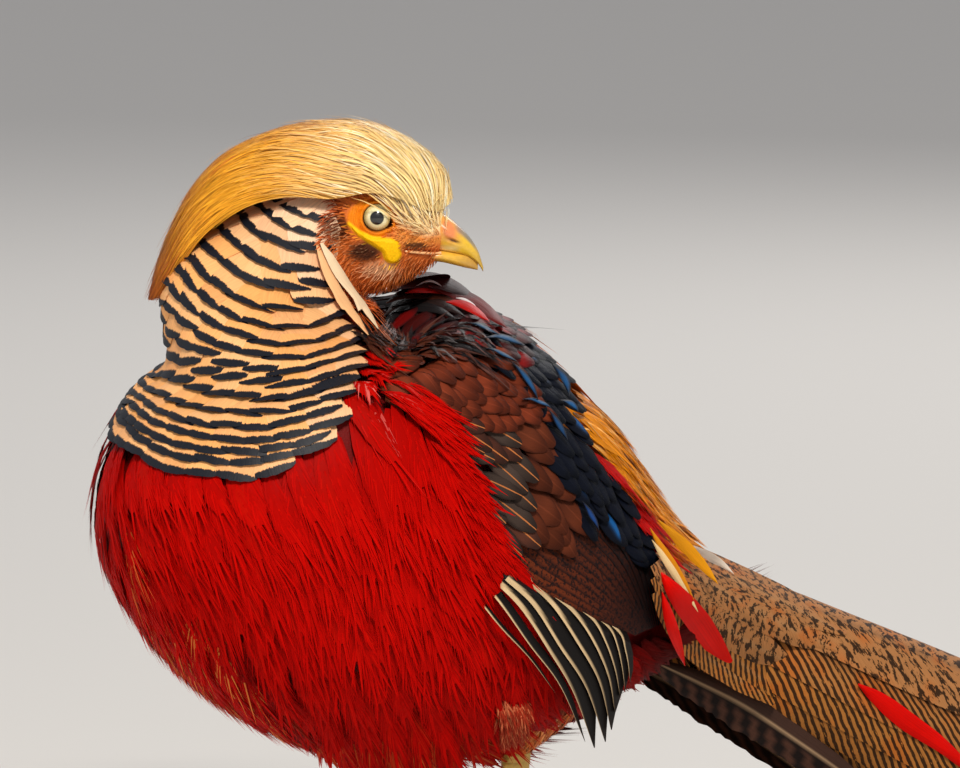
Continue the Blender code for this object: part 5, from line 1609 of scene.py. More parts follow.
def between_wings(p, d, gap=4.0):
    """Whether places on the back lie between the folded wings."""
    return fold(d) < np.interp(p, WING_PLACES, WING_TOP_EDGE) - gap


def low_rump_tint(laid, across, along):
    """Amber and golden feathers under the rump's longer ones."""
    return varied(mix(AMBER, ORANGE_GOLD, chance(across, 88, 2)), across, 89, 0.2)


def make_rump():
    """Hair-like golden feathers of the lower back, with scarlet ones along their sides."""
    p, d = scatter(body, (9.7, 18.0), (-84.0, 84.0), 3.3, 81)
    behind = (p > 12.2) & (rump_side(body(p, d)) > -4.0)
    kept = between_wings(p, d, 2.0) | behind
    p, d = p[kept], d[kept]
    draw = np.random.default_rng(81)
    laid = lay(body, p, d, draw.normal(0, 7, len(p)), 19 + 7 * draw.random(len(p)), RUMP_LIFT, rows=6)
    clear = ~(wing_reach(laid["line"][:, 3]) & shows(p, d)) | (fold(d) < 10)
    x, y = left_pixels(laid["line"][:, 5])
    clear = clear & ~((y > 536) & (x > line_x(GOLD_END, y)))
    laid = only(laid, clear)
    front = scatter(body, (9.6, 12.4), (-62.0, 62.0), 3.6, 86, between_wings)
    back = scatter(body, (16.2, 18.2), (-46.0, 46.0), 3.6, 90)
    p, d = np.concatenate([front[0], back[0]]), np.concatenate([front[1], back[1]])
    low = lay(body, p, d, draw.normal(0, 6, len(p)), 10 + 3 * draw.random(len(p)), RUMP_LOW_LIFT, rows=6)
    low_hair = barbs(low, 5.0, 8, LANCE, thickness=0.6, reach=0.5, seed=87)
    short = rump_red(laid["line"][:, 3])
    red = smooth(3.0, -3.0, short) * (short > -60) * smooth(10.5, 12.0, laid["place"])
    red = red * shows(laid["place"], laid["degrees"])

    def tint(laid, across, along):
        colour = mix(ORANGE_GOLD, PALE_GOLD, 0.5 * (chance(across, 82, 2) > 0.9))
        colour = mix(colour, AMBER, 0.5 * (chance(across, 83, 2) > 0.8))
        return varied(mix(colour, SCARLET, red.reshape(thin(across)) + 0 * across), across, 84, 0.2)

    def shaded_under_tint(laid, across, along):
        # The sheets under the barbs are darker than the barbs: painted shade.
        return tint(laid, across[..., None], along[..., None])[..., 0, :] * 0.75

    hair = barbs(laid, 6.5, 12, LANCE, thickness=0.6, reach=0.5, seed=85)
    gold = feather_material("rump_silk", 0.42, lines=4.0, depth=0.12, specular=0.2, IOR=1.35)
    under = vanes(laid, 5.0, LANCE, columns=3)
    blocks = [block(laid, under, shaded_under_tint), block(laid, hair, tint), block(low, low_hair, low_rump_tint)]
    piece("rump_hair", blocks, gold)


def scale_material(name, roughness, edge, edge_at=0.62, specular=0.5, mottle=0.0, shaft=None):
    """Rounded feathers with barb lines, a darker rim and a paler shaft."""
    m = Nodes(name, roughness, Specular_IOR_Level=specular, IOR=1.2)
    across, along = m.across_along()
    out = m.sum("MULTIPLY_ADD", across, 34.0, m.sum("MULTIPLY", along, 26.0))
    lines = m.noise(m.add("CombineXYZ", _0=out), 1.0, 2.0)
    aside = m.sum("ABSOLUTE", m.sum("SUBTRACT", across, 0.5))
    rim = m.ramp(m.sum("MAXIMUM", m.sum("MULTIPLY", aside, 2.0), along), edge_at, 1.0)
    line = m.sum("SUBTRACT", 1.0, m.ramp(aside, 0.012, 0.045))
    colour = m.shaded(m.tint(), m.sum("MULTIPLY_ADD", lines, 0.7, 0.65))
    if mottle:
        spots = m.noise(m.place(), 900.0, 3.0, 0.7)
        colour = m.blend(m.sum("MULTIPLY", m.ramp(spots, 0.5, 0.58), mottle), colour, BLACK)
    colour = m.blend(m.sum("MULTIPLY", rim, 0.75), colour, tuple(edge))
    if shaft is None:
        colour = m.blend(m.sum("MULTIPLY", line, 0.35), colour, m.shaded(colour, 1.9))
    else:
        colour = m.blend(m.sum("MULTIPLY", line, 0.9), colour, tuple(shaft))
    m.set(Base_Color=colour)
    m.bump(lines, 0.4, 0.0003)
    return m.material


SCALE_SPREAD = 6.0


def rounded(laid, width, draw):
    """Sheets of laid rounded feathers of about one width."""
    wide = width * (0.9 + 0.2 * draw.random(len(laid["place"])))
    return vanes(laid, wide, ROUND, columns=7, cup=0.16, tip_curve=0.5)


def scales(surface, places, degrees, spacing, seed, size, lift):
    """Laid rounded feathers of one kind over a patch, with their sheets."""
    p, d = scatter(surface, places, degrees, spacing, seed)
    draw = np.random.default_rng(seed)
    length, width = size
    lift = np.asarray(lift, float) + 0.5 * (draw.random(len(p)) - 0.5)[:, None]
    turn = draw.normal(0, SCALE_SPREAD, len(p))
    laid = lay(surface, p, d, turn, length * (0.85 + 0.3 * draw.random(len(p))), lift, rows=8)
    return laid, rounded(laid, width, draw)


# Long feathers of the shoulder with red and pale strips of painted highlight on them, and blue painted
# highlights on the wing's dark feathers: middles by pixels, width, colour and lift.
SHOULDER_FEATHERS = (
    (((382, 330), (394, 314), (412, 307), (436, 309), (458, 320)), 11, (30, 27, 28), 2.0),
    (((384, 316), (400, 302), (420, 299), (444, 305), (466, 317)), 12, (40, 28, 26), 2.6),
    (((386, 303), (404, 294), (428, 293), (452, 301), (474, 315)), 13, (66, 32, 22), 4.0),
    (((382, 294), (404, 283), (432, 280), (460, 290), (484, 310)), 16, (54, 13, 12), 6.5),
    (((428, 286), (453, 292), (475, 303), (492, 315), (507, 328)), 15, (92, 14, 12), 9.0),
    # The last four are painted highlights on the shoulder feathers: two bright red on the maroon, and two
    # pale.
    (((405, 293), (418, 289), (431, 288), (443, 291), (455, 298)), 10, (150, 14, 10), 8.2),
    (((446, 302), (458, 303), (469, 307), (480, 314), (490, 322)), 9, (156, 14, 10), 10.4),
    (((416, 286), (424, 282), (431, 281), (438, 284), (446, 289)), 2.5, (170, 146, 146), 8.8),
    (((456, 298), (462, 299), (468, 302), (474, 306), (478, 311)), 4, (206, 196, 196), 11.0),
)
# Blue painted highlights on the dark feathers of the wing.
BLUE_HIGHLIGHTS = (
    (((468, 323), (477, 324), (486, 328), (494, 332), (502, 336)), 4, (46, 76, 104), 2.4),
    (((484, 338), (497, 336), (507, 338), (517, 342), (526, 346)), 6, (36, 76, 112), 2.6),
    (((486, 348), (495, 350), (503, 354), (511, 358), (518, 362)), 4, (38, 76, 110), 2.2),
    (((512, 362), (521, 371), (528, 380), (534, 390), (538, 400)), 6, (24, 76, 122), 2.0),
    (((552, 364), (560, 372), (565, 379), (568, 387), (569, 396)), 8, (18, 72, 120), 3.0),
    (((522, 399), (532, 399), (540, 402), (547, 405), (552, 409)), 4, (28, 78, 122), 1.8),
    (((561, 400), (568, 402), (572, 404), (576, 408), (578, 412)), 6, (20, 80, 130), 3.0),
    (((549, 410), (555, 418), (560, 426), (564, 433), (568, 441)), 6, (22, 62, 104), 2.0),
    (((582, 501), (588, 509), (592, 516), (596, 523), (599, 531)), 6, (18, 60, 122), 1.8),
)


def make_shoulder():
    """The long feathers that stand over the shoulder with strips of painted highlight on them, and blue
    painted highlights on the wing's dark feathers.
    """
    plane = depth_plane(body, ((420, 310), (480, 330), (440, 350), (520, 380)), (6.4, 12.0), (0.0, 110.0))
    coats = ((body, (6.4, 16.0), (0.0, 110.0), 0.0),)
    for name, feathers in (("shoulder_feathers_and_highlights", SHOULDER_FEATHERS), ("blue_highlights", BLUE_HIGHLIGHTS)):
        sheets = [drawn(spots, width, coats, plane, lift) for spots, width, _, lift in feathers]
        colours = [srgb(*colour) for _, _, colour, _ in feathers]
        silk = feather_material(name, 0.42, lines=14.0, depth=0.6, specular=0.3)
        piece(name, [pair_block(sheets, colours, name == "blue_highlights")], silk)


# How steeply the soft shoulder feathers point down, by pixels across the frame, and how they lift.
HAIR_LEAN, HAIR_LIFT = ((380, 420, 500), (-24.0, -6.0, 22.0)), (-2.8, -1.0, 0.0, 0.6)


def make_mantle():
    """Dark green scales between the shoulders, maroon ones beside them and soft grey ones below, a few of
    these painted paler grey as highlights.
    """
    laid, shaped = scales(body, (7.2, 10.6), (-44, 44), 4.6, 91, (13.0, 10.0), (-3.5, -1.4, -0.2, 0.5))

    def tint(laid, across, along):
        aside = fold(rooted(laid, "degrees", across))
        green = (1 - smooth(3, 7, aside)) * smooth(8.5, 8.9, rooted(laid, "place", across))
        colour = mix(MANTLE_MAROON, MANTLE_GREEN, green)
        colour = mix(colour, MAROON, 0.7 * (1 - green) * (chance(across, 96) > 0.75))
        return varied(colour, across, 92, 0.3)

    gloss = scale_material("mantle_scales", 0.32, BLACK, specular=0.25)
    piece("mantle_scales", [block(laid, shaped, tint)], gloss)
    blocks = []
    for side in (1, -1):
        p, d = scatter(body, (6.6, 9.6), (30.0, 80.0), 2.3, 93)
        x, y, _ = to_pixels(body(p, d))
        kept = (y < 352) | (p < 8)
        p, d, x, y = p[kept], d[kept], x[kept], y[kept]
        draw = np.random.default_rng(93)
        turn = np.where(p > 7.4, screen_heading(p, d, np.interp(x, *HAIR_LEAN)), -10.0)
        turn = turn + draw.normal(0, 12, len(p))
        laid = lay(body, p, side * d, side * turn, 10 + 6 * draw.random(len(p)), HAIR_LIFT, rows=6)
        # A few strands are painted paler grey: painted highlights.
        shade = mix(HAIR_BLACK, HAIR_GREY_HIGHLIGHT, (draw.random(len(p)) > 0.88) * 0.8)
        shade = mix(shade, HAIR_BROWN, 0.8 * (draw.random(len(p)) > 0.6))

        def grey_tint(laid, across, along, shade=shade):
            colour = np.broadcast_to(shade.reshape(thin(across) + (3,)), across.shape + (3,))
            return varied(colour, across, 95, 0.3)

        blocks.append(block(laid, barbs(laid, 3.6, 9, LANCE, thickness=0.42, reach=0.5, seed=94), grey_tint))
        blocks.append(block(laid, vanes(laid, 2.8, LANCE, columns=3), grey_tint))
    silk = feather_material("shoulder_silk", 0.4, lines=4.0, specular=0.35)
    piece("shoulder_hair", blocks, silk)


# The folded left wing and its kinds of feathers, by pixels of the frame.
WING_OUTLINE = ((402, 395), (440, 408), (455, 440), (470, 480), (490, 520), (503, 562), (545, 590),
                (585, 610), (610, 628), (640, 642), (664, 640), (663, 560), (640, 510), (600, 450),
                (578, 406), (560, 358), (510, 318), (470, 288), (440, 270), (375, 270), (370, 335))
SHOULDER_AREA = ((365, 262), (475, 262), (520, 322), (495, 340), (440, 330), (370, 338))
CHESTNUT_AREA = ((368, 338), (440, 330), (500, 340), (524, 375), (550, 415), (490, 424),
                 (440, 414), (395, 402))
SHAFTED_AREA = ((395, 400), (440, 410), (490, 420), (520, 440), (530, 490), (532, 540),
                (500, 552), (450, 440))
MOTTLED_AREA = ((515, 420), (550, 412), (562, 470), (590, 518), (600, 540), (560, 545),
                (530, 540), (524, 480))
NAVY_AREA = ((495, 312), (535, 325), (570, 352), (592, 398), (612, 445), (652, 505), (668, 560), (658, 580),
             (628, 545), (592, 518), (562, 470), (548, 415), (522, 375), (495, 340))
# Lowest and highest long wing feathers that show, by pixels from their roots to their tips.
SECONDARIES = 15
LOWEST_SECONDARY = ((470, 520), (520, 568), (580, 603), (640, 636))
HIGHEST_SECONDARY = ((580, 420), (622, 480), (653, 540), (663, 626))

# Tiers of rounded wing feathers: area, spacing, seed, length and width, and lift from root to tip.
MOTTLED_TIER = (MOTTLED_AREA, 6.6, 103, (20.0, 10.0), (-5.4, -3.2, -1.8, -0.9))
SHAFTED_TIER = (SHAFTED_AREA, 5.4, 105, (17.0, 8.0), (-4.8, -2.7, -1.3, -0.4))
CHESTNUT_TIER = (CHESTNUT_AREA, 3.9, 107, (11.0, 7.6), (-4.2, -1.9, -0.6, 0.1))
NAVY_TIER = (NAVY_AREA, 4.6, 110, (19.0, 7.4), (-5.2, -2.8, -1.2, -0.3))
SHOULDER_TIER = (SHOULDER_AREA, 4.4, 114, (17.0, 7.0), (-4.2, -1.6, -0.2, 0.5))


def wing_lean(x, y):
    """How steeply the wing's scales point down at a pixel of the frame, in degrees."""
    return np.clip(42.0 + 0.2 * (x - 500) + 0.125 * (y - 430), 4.0, 62.0)


def wing_scales(side, area, spacing, seed, size, lift):
    """Rounded feathers over one area of a folded wing, with their sheets."""
    length, width = size

    def keep(p, d):
        x, y, _ = to_pixels(body(p, d))
        lean = np.radians(wing_lean(x, y))
        half = 0.5 * length * PIXELS_PER_MM
        x, y = x + half * np.cos(lean), y + half * np.sin(lean)
        top = np.interp(p, WING_PLACES, WING_TOP_EDGE)
        return inside(x, y, area) & inside(x, y, WING_OUTLINE) & (d > top - 2)

    p, d = scatter(body, (7.4, 16.2), (14.0, 112.0), spacing, seed, keep)
    draw = np.random.default_rng(seed)
    x, y, _ = to_pixels(body(p, d))
    heading = screen_heading(p, d, wing_lean(x, y)) + draw.normal(0, SCALE_SPREAD, len(p))
    lift = np.asarray(lift, float) + 0.4 * (draw.random(len(p)) - 0.5)[:, None]
    laid = lay(body, p, side * d, side * heading, length * (0.85 + 0.3 * draw.random(len(p))), lift, rows=8)
    return laid, rounded(laid, width, draw)


def mottled_tint(laid, across, along):
    """Brown, darker at the root."""
    return varied(mix(MOTTLED_BROWN, MOTTLED_DARK, 0.8 * (1 - along)), across, 104, 0.3)


def shafted_tint(laid, across, along):
    """Grey, and brown on some feathers."""
    return varied(mix(SHAFTED_GREY, HAIR_BROWN, 0.7 * (chance(across, 7) > 0.6)), across, 106, 0.25)


def chestnut_tint(laid, across, along):
    """Chestnut, lighter and darker by feather."""
    return varied(CHESTNUT + 0 * across[..., None], across, 108, 0.25)


def make_wings():
    """Folded wings: flight feathers, then coverts in tiers, and glossy blue-black inner feathers."""
    flight = scale_material("secondary_vanes", 0.5, BLACK, 0.5, 0.15, mottle=0.9)
    shafted = scale_material("shafted_vanes", 0.45, SHAFTED_RIM, 0.6, 0.2, shaft=SHAFT_ORANGE)
    chestnut = scale_material("covert_vanes", 0.45, CHESTNUT_RIM, 0.62, 0.2)
    blue = scale_material("blue_vanes", 0.3, NAVY_RIM, 0.8, 0.22)
    for name, side in SIDES.items():
        count = SECONDARIES
        share = np.linspace(0, 1, count)[:, None, None]
        low = curve(LOWEST_SECONDARY, np.linspace(0, 3, 14))
        high = curve(HIGHEST_SECONDARY, np.linspace(0, 3, 14))
        p, d = seen(body, low + (high - low) * share, (10.0, 17.0), (20.0, 120.0))
        lift = np.interp(np.linspace(0, 1, 14), (0, 0.3, 0.6, 1), (-6.4, -4.4, -2.8, -1.6))
        laid = lay_path(body, p, side * d, lift)
        gap = np.linalg.norm(high - low, axis=1) / PIXELS_PER_MM / count
        width = np.maximum(gap, 1.2)[None, :] * 2.6 * np.ones((count, 1))
        shaped = vanes(laid, width, BLADE, columns=9, cup=0.1, roll=0.16 * side, fray=0.8)

        def flight_tint(laid, across, along):
            high = np.linspace(0, 1, count)[:, None, None] + 0 * along
            return varied(mix(LOW_SECONDARY, HIGH_SECONDARY, high**0.8), across, 102, 0.15)

        piece(f"secondaries_{name}", [block(laid, shaped, flight_tint, (0, 0))], flight,
              (f"wing_{name}",))
        make_primaries(side, name)
        blocks = []
        laid, shaped = wing_scales(side, *MOTTLED_TIER)
        blocks.append(block(laid, shaped, mottled_tint))
        laid, shaped = wing_scales(side, *SHAFTED_TIER)
        grey = block(laid, shaped, shafted_tint)
        piece(f"shafted_{name}", [grey], shafted)
        laid, shaped = wing_scales(side, *CHESTNUT_TIER)
        blocks.append(block(laid, shaped, chestnut_tint))
        piece(f"coverts_{name}", blocks, chestnut)

        def blue_tint(laid, across, along):
            # Cobalt patches on some feathers are painted highlights of their gloss.
            patch = smooth(0.9, 1.0, chance(across, 109)) * smooth(0.35, 0.6, along)
            patch = patch * (1 - smooth(0.85, 1.0, along))
            patch = patch * np.exp(-(((across * side + 0.5) / 0.35) ** 2))
            return mix(BLUE_BLACK, COBALT_HIGHLIGHT, patch)

        def shoulder_tint(laid, across, along):
            colour = mix(SHOULDER_BROWN, MAROON, 0.7 * (chance(across, 111) > 0.7))
            return varied(mix(colour, SHOULDER_RED, 0.9 * (chance(across, 112) > 0.9)), across, 113, 0.3)

        laid, shaped = wing_scales(side, *NAVY_TIER)
        blocks = [block(laid, shaped, blue_tint)]
        laid, shaped = wing_scales(side, *SHOULDER_TIER)
        blocks.append(block(laid, shaped, shoulder_tint))
        piece(f"tertials_{name}", blocks, blue)


# Pale front edges of the primaries, from the lowest up, by pixels of the frame from root to tip.
PRIMARY_EDGES = (
    ((446, 560), (472, 592), (500, 627), (530, 659), (556, 694)),
    ((474, 574), (500, 604), (530, 646), (560, 686), (585, 742)),
    ((490, 578), (520, 608), (548, 650), (573, 692), (594, 748)),
    ((505, 580), (533, 606), (560, 648), (586, 688), (605, 742)),
    ((524, 580), (552, 606), (577, 643), (599, 682), (611, 730)),
    ((545, 590), (572, 612), (592, 640), (608, 676), (615, 712)),
    ((575, 606), (594, 622), (606, 644), (615, 670), (620, 696)),
    ((595, 616), (610, 630), (617, 646), (622, 668), (625, 690)),
    ((610, 624), (621, 636), (625, 650), (628, 664), (630, 682)),
)
# Lower edge of the folded secondaries, and the red plumes that hide the first primaries' roots.
WING_LOW_LINE = ((440, 560), (503, 566), (545, 592), (585, 612), (610, 626), (640, 640), (664, 642))
FLANK_COVER = ((480, 540), (495, 572), (493, 590), (480, 608), (472, 640), (460, 800))
PRIMARY_WIDTH = (4.0, 9.0, 26.0, 25.0, 24.0, 20.0, 14.0, 9.0, 7.0)
PRIMARY_ANCHORS = ((500, 585), (615, 625), (560, 650), (540, 600))


def depth_plane(surface, spots, places, degrees):
    """Distance from the camera, as a plane over the frame through a surface's points at pixels."""
    p, d = seen(surface, spots, places, degrees)
    x, y, depth = to_pixels(surface(p, d))
    fit = np.linalg.lstsq(np.stack([x, y, np.ones_like(x)], axis=-1), depth, rcond=None)[0]

    def depth_at(spots):
        return spots[..., 0] * fit[0] + spots[..., 1] * fit[1] + fit[2]

    return depth_at


TRACE_ROWS, TRACE_COLUMNS = 24, 9
POINTED = (0.1, 0.6, 0.92, 1.0, 0.85, 0.55, 0.05)
BLUNT = (0.4, 0.75, 0.95, 1.0, 1.0, 0.85, 0.2)


def trace(spots, width, shape=POINTED):
    """Pixels of the frame over a feather, from its root to its tip and from edge to edge."""
    steps, x = np.linspace(0, 1, TRACE_ROWS), np.linspace(-1, 1, TRACE_COLUMNS)
    middle = curve(spots, steps * (len(spots) - 1))
    run = unit(np.gradient(middle, axis=0))
    aside = np.stack([run[:, 1], -run[:, 0]], axis=-1)
    half = width / 2 * np.interp(steps, np.linspace(0, 1, len(shape)), shape)
    return middle[:, None] + aside[:, None] * half[:, None, None] * x[None, :, None]


def nearest(spots, coats):
    """Distance from the camera to the nearest of some coats at pixels, smoothed along them."""
    depths = []
    for surface, places, degrees, lift in coats:
        p, d = seen(surface, spots, places, degrees)
        point, _, _, normal = lie(surface, p, d)
        x, y, depth = to_pixels(point + normal * lift)
        miss = np.hypot(x - spots[:, 0], y - spots[:, 1])
        depths.append(depth + 1e3 * (miss > 24.0))
    depth = np.min(depths, axis=0)
    steps = np.linspace(0, 1, len(spots))
    found = depth < depth.min() + 500.0
    return np.polyval(np.polyfit(steps[found], depth[found], 3), np.linspace(0, 1, TRACE_ROWS))


def drawn(spots, width, coats, plane, front, shape=POINTED, cup=1.0):
    """Points of a feather drawn in the frame, in front of the coats it lies on."""
    grid = trace(spots, width, shape)
    middle = grid[:, TRACE_COLUMNS // 2]
    along = nearest(curve(spots, np.linspace(0, 1, 9) * (len(spots) - 1)), coats)
    x = np.linspace(-1, 1, TRACE_COLUMNS)
    away = (along - front)[:, None] + plane(grid) - plane(middle)[:, None] + cup * x[None, :] ** 2
    return from_pixels(grid, away)


def loose_block(points, across, along, tint):
    """A block of feathers drawn in the frame, from their sheets of points."""
    shape, number = points.shape[:3], len(points)
    laid = {"place": np.zeros(number), "degrees": np.zeros(number), "rows": len(along)}
    across, along = np.broadcast_to(across, shape), np.broadcast_to(along[:, None], shape)
    return block(laid, (points, across, along), tint, (0, 0))


def pair_block(sheets, colours, fading=False):
    """A block from feathers drawn on the left side and their mirror images."""
    points = np.array([points * (side, 1, 1) for points in sheets for side in (1, -1)])
    colours = np.repeat(np.array(colours), 2, axis=0)

    def tint(laid, across, along):
        colour = colours[:, None, None, :] + 0 * across[..., None]
        # The blue painted highlights fade into blue-black towards their edges.
        if fading:
            colour = mix(colour, BLUE_BLACK, smooth(0.2, 1.0, np.hypot(across, 2 * along - 1)))
        return varied(colour, across, 121, 0.12)

    return loose_block(points, np.linspace(-1, 1, TRACE_COLUMNS), np.linspace(0, 1, TRACE_ROWS), tint)


def make_primaries(side, name):
    """Long dark primaries with pale leading edges, fanned below the folded wing."""
    depth = depth_plane(body, PRIMARY_ANCHORS, (10.0, 17.0), (60.0, 130.0))
    rows, columns = 26, 15
    steps = np.linspace(0, 1, rows)
    sheets = []
    for spots, width in zip(PRIMARY_EDGES, PRIMARY_WIDTH):
        edge = curve(spots, steps * 4)
        run = unit(np.gradient(edge, axis=0))
        aside = np.stack([run[:, 1], -run[:, 0]], axis=-1)
        wide = width * np.interp(steps, (0, 0.2, 0.6, 0.85, 1.0), (0.8, 1.0, 1.0, 0.6, 0.04))
        x = np.linspace(0, 1, columns)
        grid = edge[:, None] + aside[:, None] * wide[:, None, None] * x[None, :, None]
        below = grid[..., 1] - np.interp(grid[..., 0], *np.array(WING_LOW_LINE).T)
        aside = grid[..., 0] - line_x(FLANK_COVER, grid[..., 1])
        out = smooth(-2.0, 9.0, below) * smooth(0.0, 14.0, aside)
        away = depth(grid) + 3.4 - 7.4 * out + 1.8 * x[None, :] + 7.0 * smooth(4.0, -8.0, aside)
        sheets.append(from_pixels(grid, away))
    points = np.array(sheets) * (side, 1, 1)

    def tint(laid, across, along):
        """Cream along the front edge, broadest at the root."""
        wide = np.array(PRIMARY_WIDTH)[:, None, None]
        reach = (across + 1) / 2 * wide
        broad = np.interp(along, (0, 0.2, 0.45, 1.0), (7.0, 4.6, 2.3, 1.0)) * np.clip(wide / 24, 0.45, 1)
        pale = 1 - smooth(-0.7, 0.7, reach - broad)
        colour = mix(PRIMARY_DARK, CREAM, pale)
        return mix(colour, PRIMARY_TIP, 0.5 * pale * smooth(0.5, 1.0, along))

    m = feather_material("primary_vanes", 0.45, lines=8.0, depth=0.12, specular=0.3)
    piece(f"primaries_{name}", [loose_block(points, 2 * x - 1, steps, tint)], m)


# Tail.

TAIL_TIPS = (10.0, 8.0, 6.4, 5.5, 4.5, 3.6)
# Angles of the upper and lower edges of each pair of tail feathers, from the top pair down.
TAIL_EDGES = ((-1.5, 76.0), (46.0, 104.0), (72.0, 124.0), (92.0, 142.0), (110.0, 158.0), (124.0, 172.0))
TAIL_LAYER = 2.7


def tail_vane(side, pair, rows=60, columns=15):
    """The sheet of one tail feather, under its upper neighbour and over its lower one."""
    tip = TAIL_TIPS[pair]
    place = np.linspace(0.35, tip, rows)
    x = np.linspace(-1.0, 1.0, columns)
    upper, lower = TAIL_EDGES[pair]
    spread = (lower - upper) / 2 * x * (1.0 + 0.3 * smooth(5.0, 7.0, place))[:, None]
    narrow = np.interp(place, (tip - 1.4, tip - 0.6, tip), (1.0, 0.75, 0.12))[:, None]
    middle = (upper + lower) / 2 + 9.0 * smooth(5.0, 7.0, place)[:, None]
    degrees = side * (middle + spread * narrow)
    sink = -7.4 + 6.0 * smooth(0.6, 2.0, place)
    layer = TAIL_LAYER * (1.0 - 0.55 * smooth(5.0, 8.0, place))
    drop = layer * (0.3 if pair == 0 else 1.0)
    out = (sink + layer / 2)[:, None] - drop[:, None] * (1.0 - x) / 2 - 0.5 * x**2
    point, _, _, normal = lie(tail, place[:, None] + 0 * x, degrees)
    point = point + normal * out[..., None]
    middle_line = point[:, columns // 2]
    reach = np.concatenate([[0], np.cumsum(np.linalg.norm(np.diff(middle_line, axis=0), axis=1))])
    aside = x[None, :] * np.linalg.norm(point[:, -1] - point[:, 0], axis=1)[:, None] / 2
    return point, np.stack(np.broadcast_arrays(aside * side + 100.0 * pair, reach[:, None]), axis=-1), x


def mapped(part, vane_map, cell):
    """A sheet with its own map in millimetres, and its own cell of four by four in the bake map."""
    part["map"] = vane_map
    part["bake"] = (part["bake"] * 0.94 + (cell % 4, cell // 4)) / 4.0
    return part


def tail_material(name, barred):
    """Cinnamon with short black dashes, or buff with oblique black bars."""
    m = Nodes(name, 0.55, Specular_IOR_Level=0.2, IOR=1.25)
    across, along = m.across_along()
    aside = m.sum("ABSOLUTE", m.sum("WRAP", across, -50.0, 50.0))
    slant = m.sum("MULTIPLY_ADD", aside, -1.35, along)
    wobble = m.noise(m.pair(across, 0.22, along, 0.22), 1.0, 3.0)
    gate = m.noise(m.pair(across, 0.4, slant, 0.45), 1.0, 3.0, 0.7)
    if barred:
        wave = m.sum("SINE", m.sum("MULTIPLY", m.sum("MULTIPLY_ADD", wobble, 2.6, slant), 1.5))
        mark = m.sum("MULTIPLY", m.ramp(wave, -0.35, 0.3), m.ramp(gate, 0.32, 0.42))
    else:
        lean = m.sum("MULTIPLY_ADD", aside, -0.5, along)
        dots = m.noise(m.pair(across, 0.3, lean, 0.3), 1.0, 3.0, 0.6)
        mark = m.sum("MULTIPLY", m.ramp(dots, 0.5, 0.54), m.ramp(gate, 0.4, 0.46))
        mark = m.sum("MAXIMUM", mark, m.ramp(dots, 0.6, 0.63))
    fine = m.pair(across, 0.2, slant, 3.0)
    lines = m.noise(fine, 1.0, 2.0)
    broad = m.noise(m.pair(across, 0.08, along, 0.05), 1.0, 2.0)
    shade = m.sum("MULTIPLY", m.sum("MULTIPLY_ADD", lines, 0.9, 0.55), m.sum("MULTIPLY_ADD", broad, 0.6, 0.7))
    rusty = m.sum("MULTIPLY", m.ramp(broad, 0.48, 0.66), 0.6)
    colour = m.shaded(m.blend(rusty, m.tint(), TAIL_RUST), shade)
    m.set(Base_Color=m.blend(m.sum("MULTIPLY", mark, 0.92), colour, TAIL_MARK))
    m.bump(lines, 0.4, 0.0003)
    return m.material


# The dark outermost tail feather: its pale shaft, and how far its two vanes reach, by pixels of the frame.
DARK_SHAFT = ((655, 662), (700, 683), (745, 706), (792, 737), (850, 778), (920, 834))
DARK_UP, DARK_DOWN = 15.0, 26.0


def make_tail():
    """Six pairs of long tail feathers down to the floor and along it."""
    dashes, bars = tail_material("tail_dashes", False), tail_material("tail_bars", True)
    for first, last, name, cloth in ((0, 1, "tail_top", dashes), (1, 6, "tail_sides", bars)):
        blocks = []
        for pair in range(first, last):
            for side in (1, -1):
                point, vane_map, x = tail_vane(side, pair)
                colour = mix(CINNAMON, BUFF, min(1.0, 0.6 * pair)) * (1.0 - 0.1 * max(0, pair - 2))
                shaft = np.exp(-((x / 0.035) ** 2))[None, :] * np.ones((len(point), 1))
                seam = 0.6 * (pair == 1) * smooth(0.35, -0.1, x)[None, :]
                colour = mix(colour + 0 * shaft[..., None], TAIL_SEAM, seam)
                colour = mix(colour, TAIL_SHAFT, 0.6 * shaft)
                cell = 2 * (pair - first) + (side < 0)
                blocks.append(mapped(sheet(point, colour), vane_map, cell))
        coverts, cell, lift = (BARRED_COVERTS, 10, 1.6) if first else (SPOTTED_COVERTS, 2, 3.2)
        blocks += make_tail_coverts(coverts, covert_depth(), lift, cell)
        piece(name, blocks, cloth, ("tail_base", "tail_end") if first else ())
    make_dark_feather()
    make_coverts()


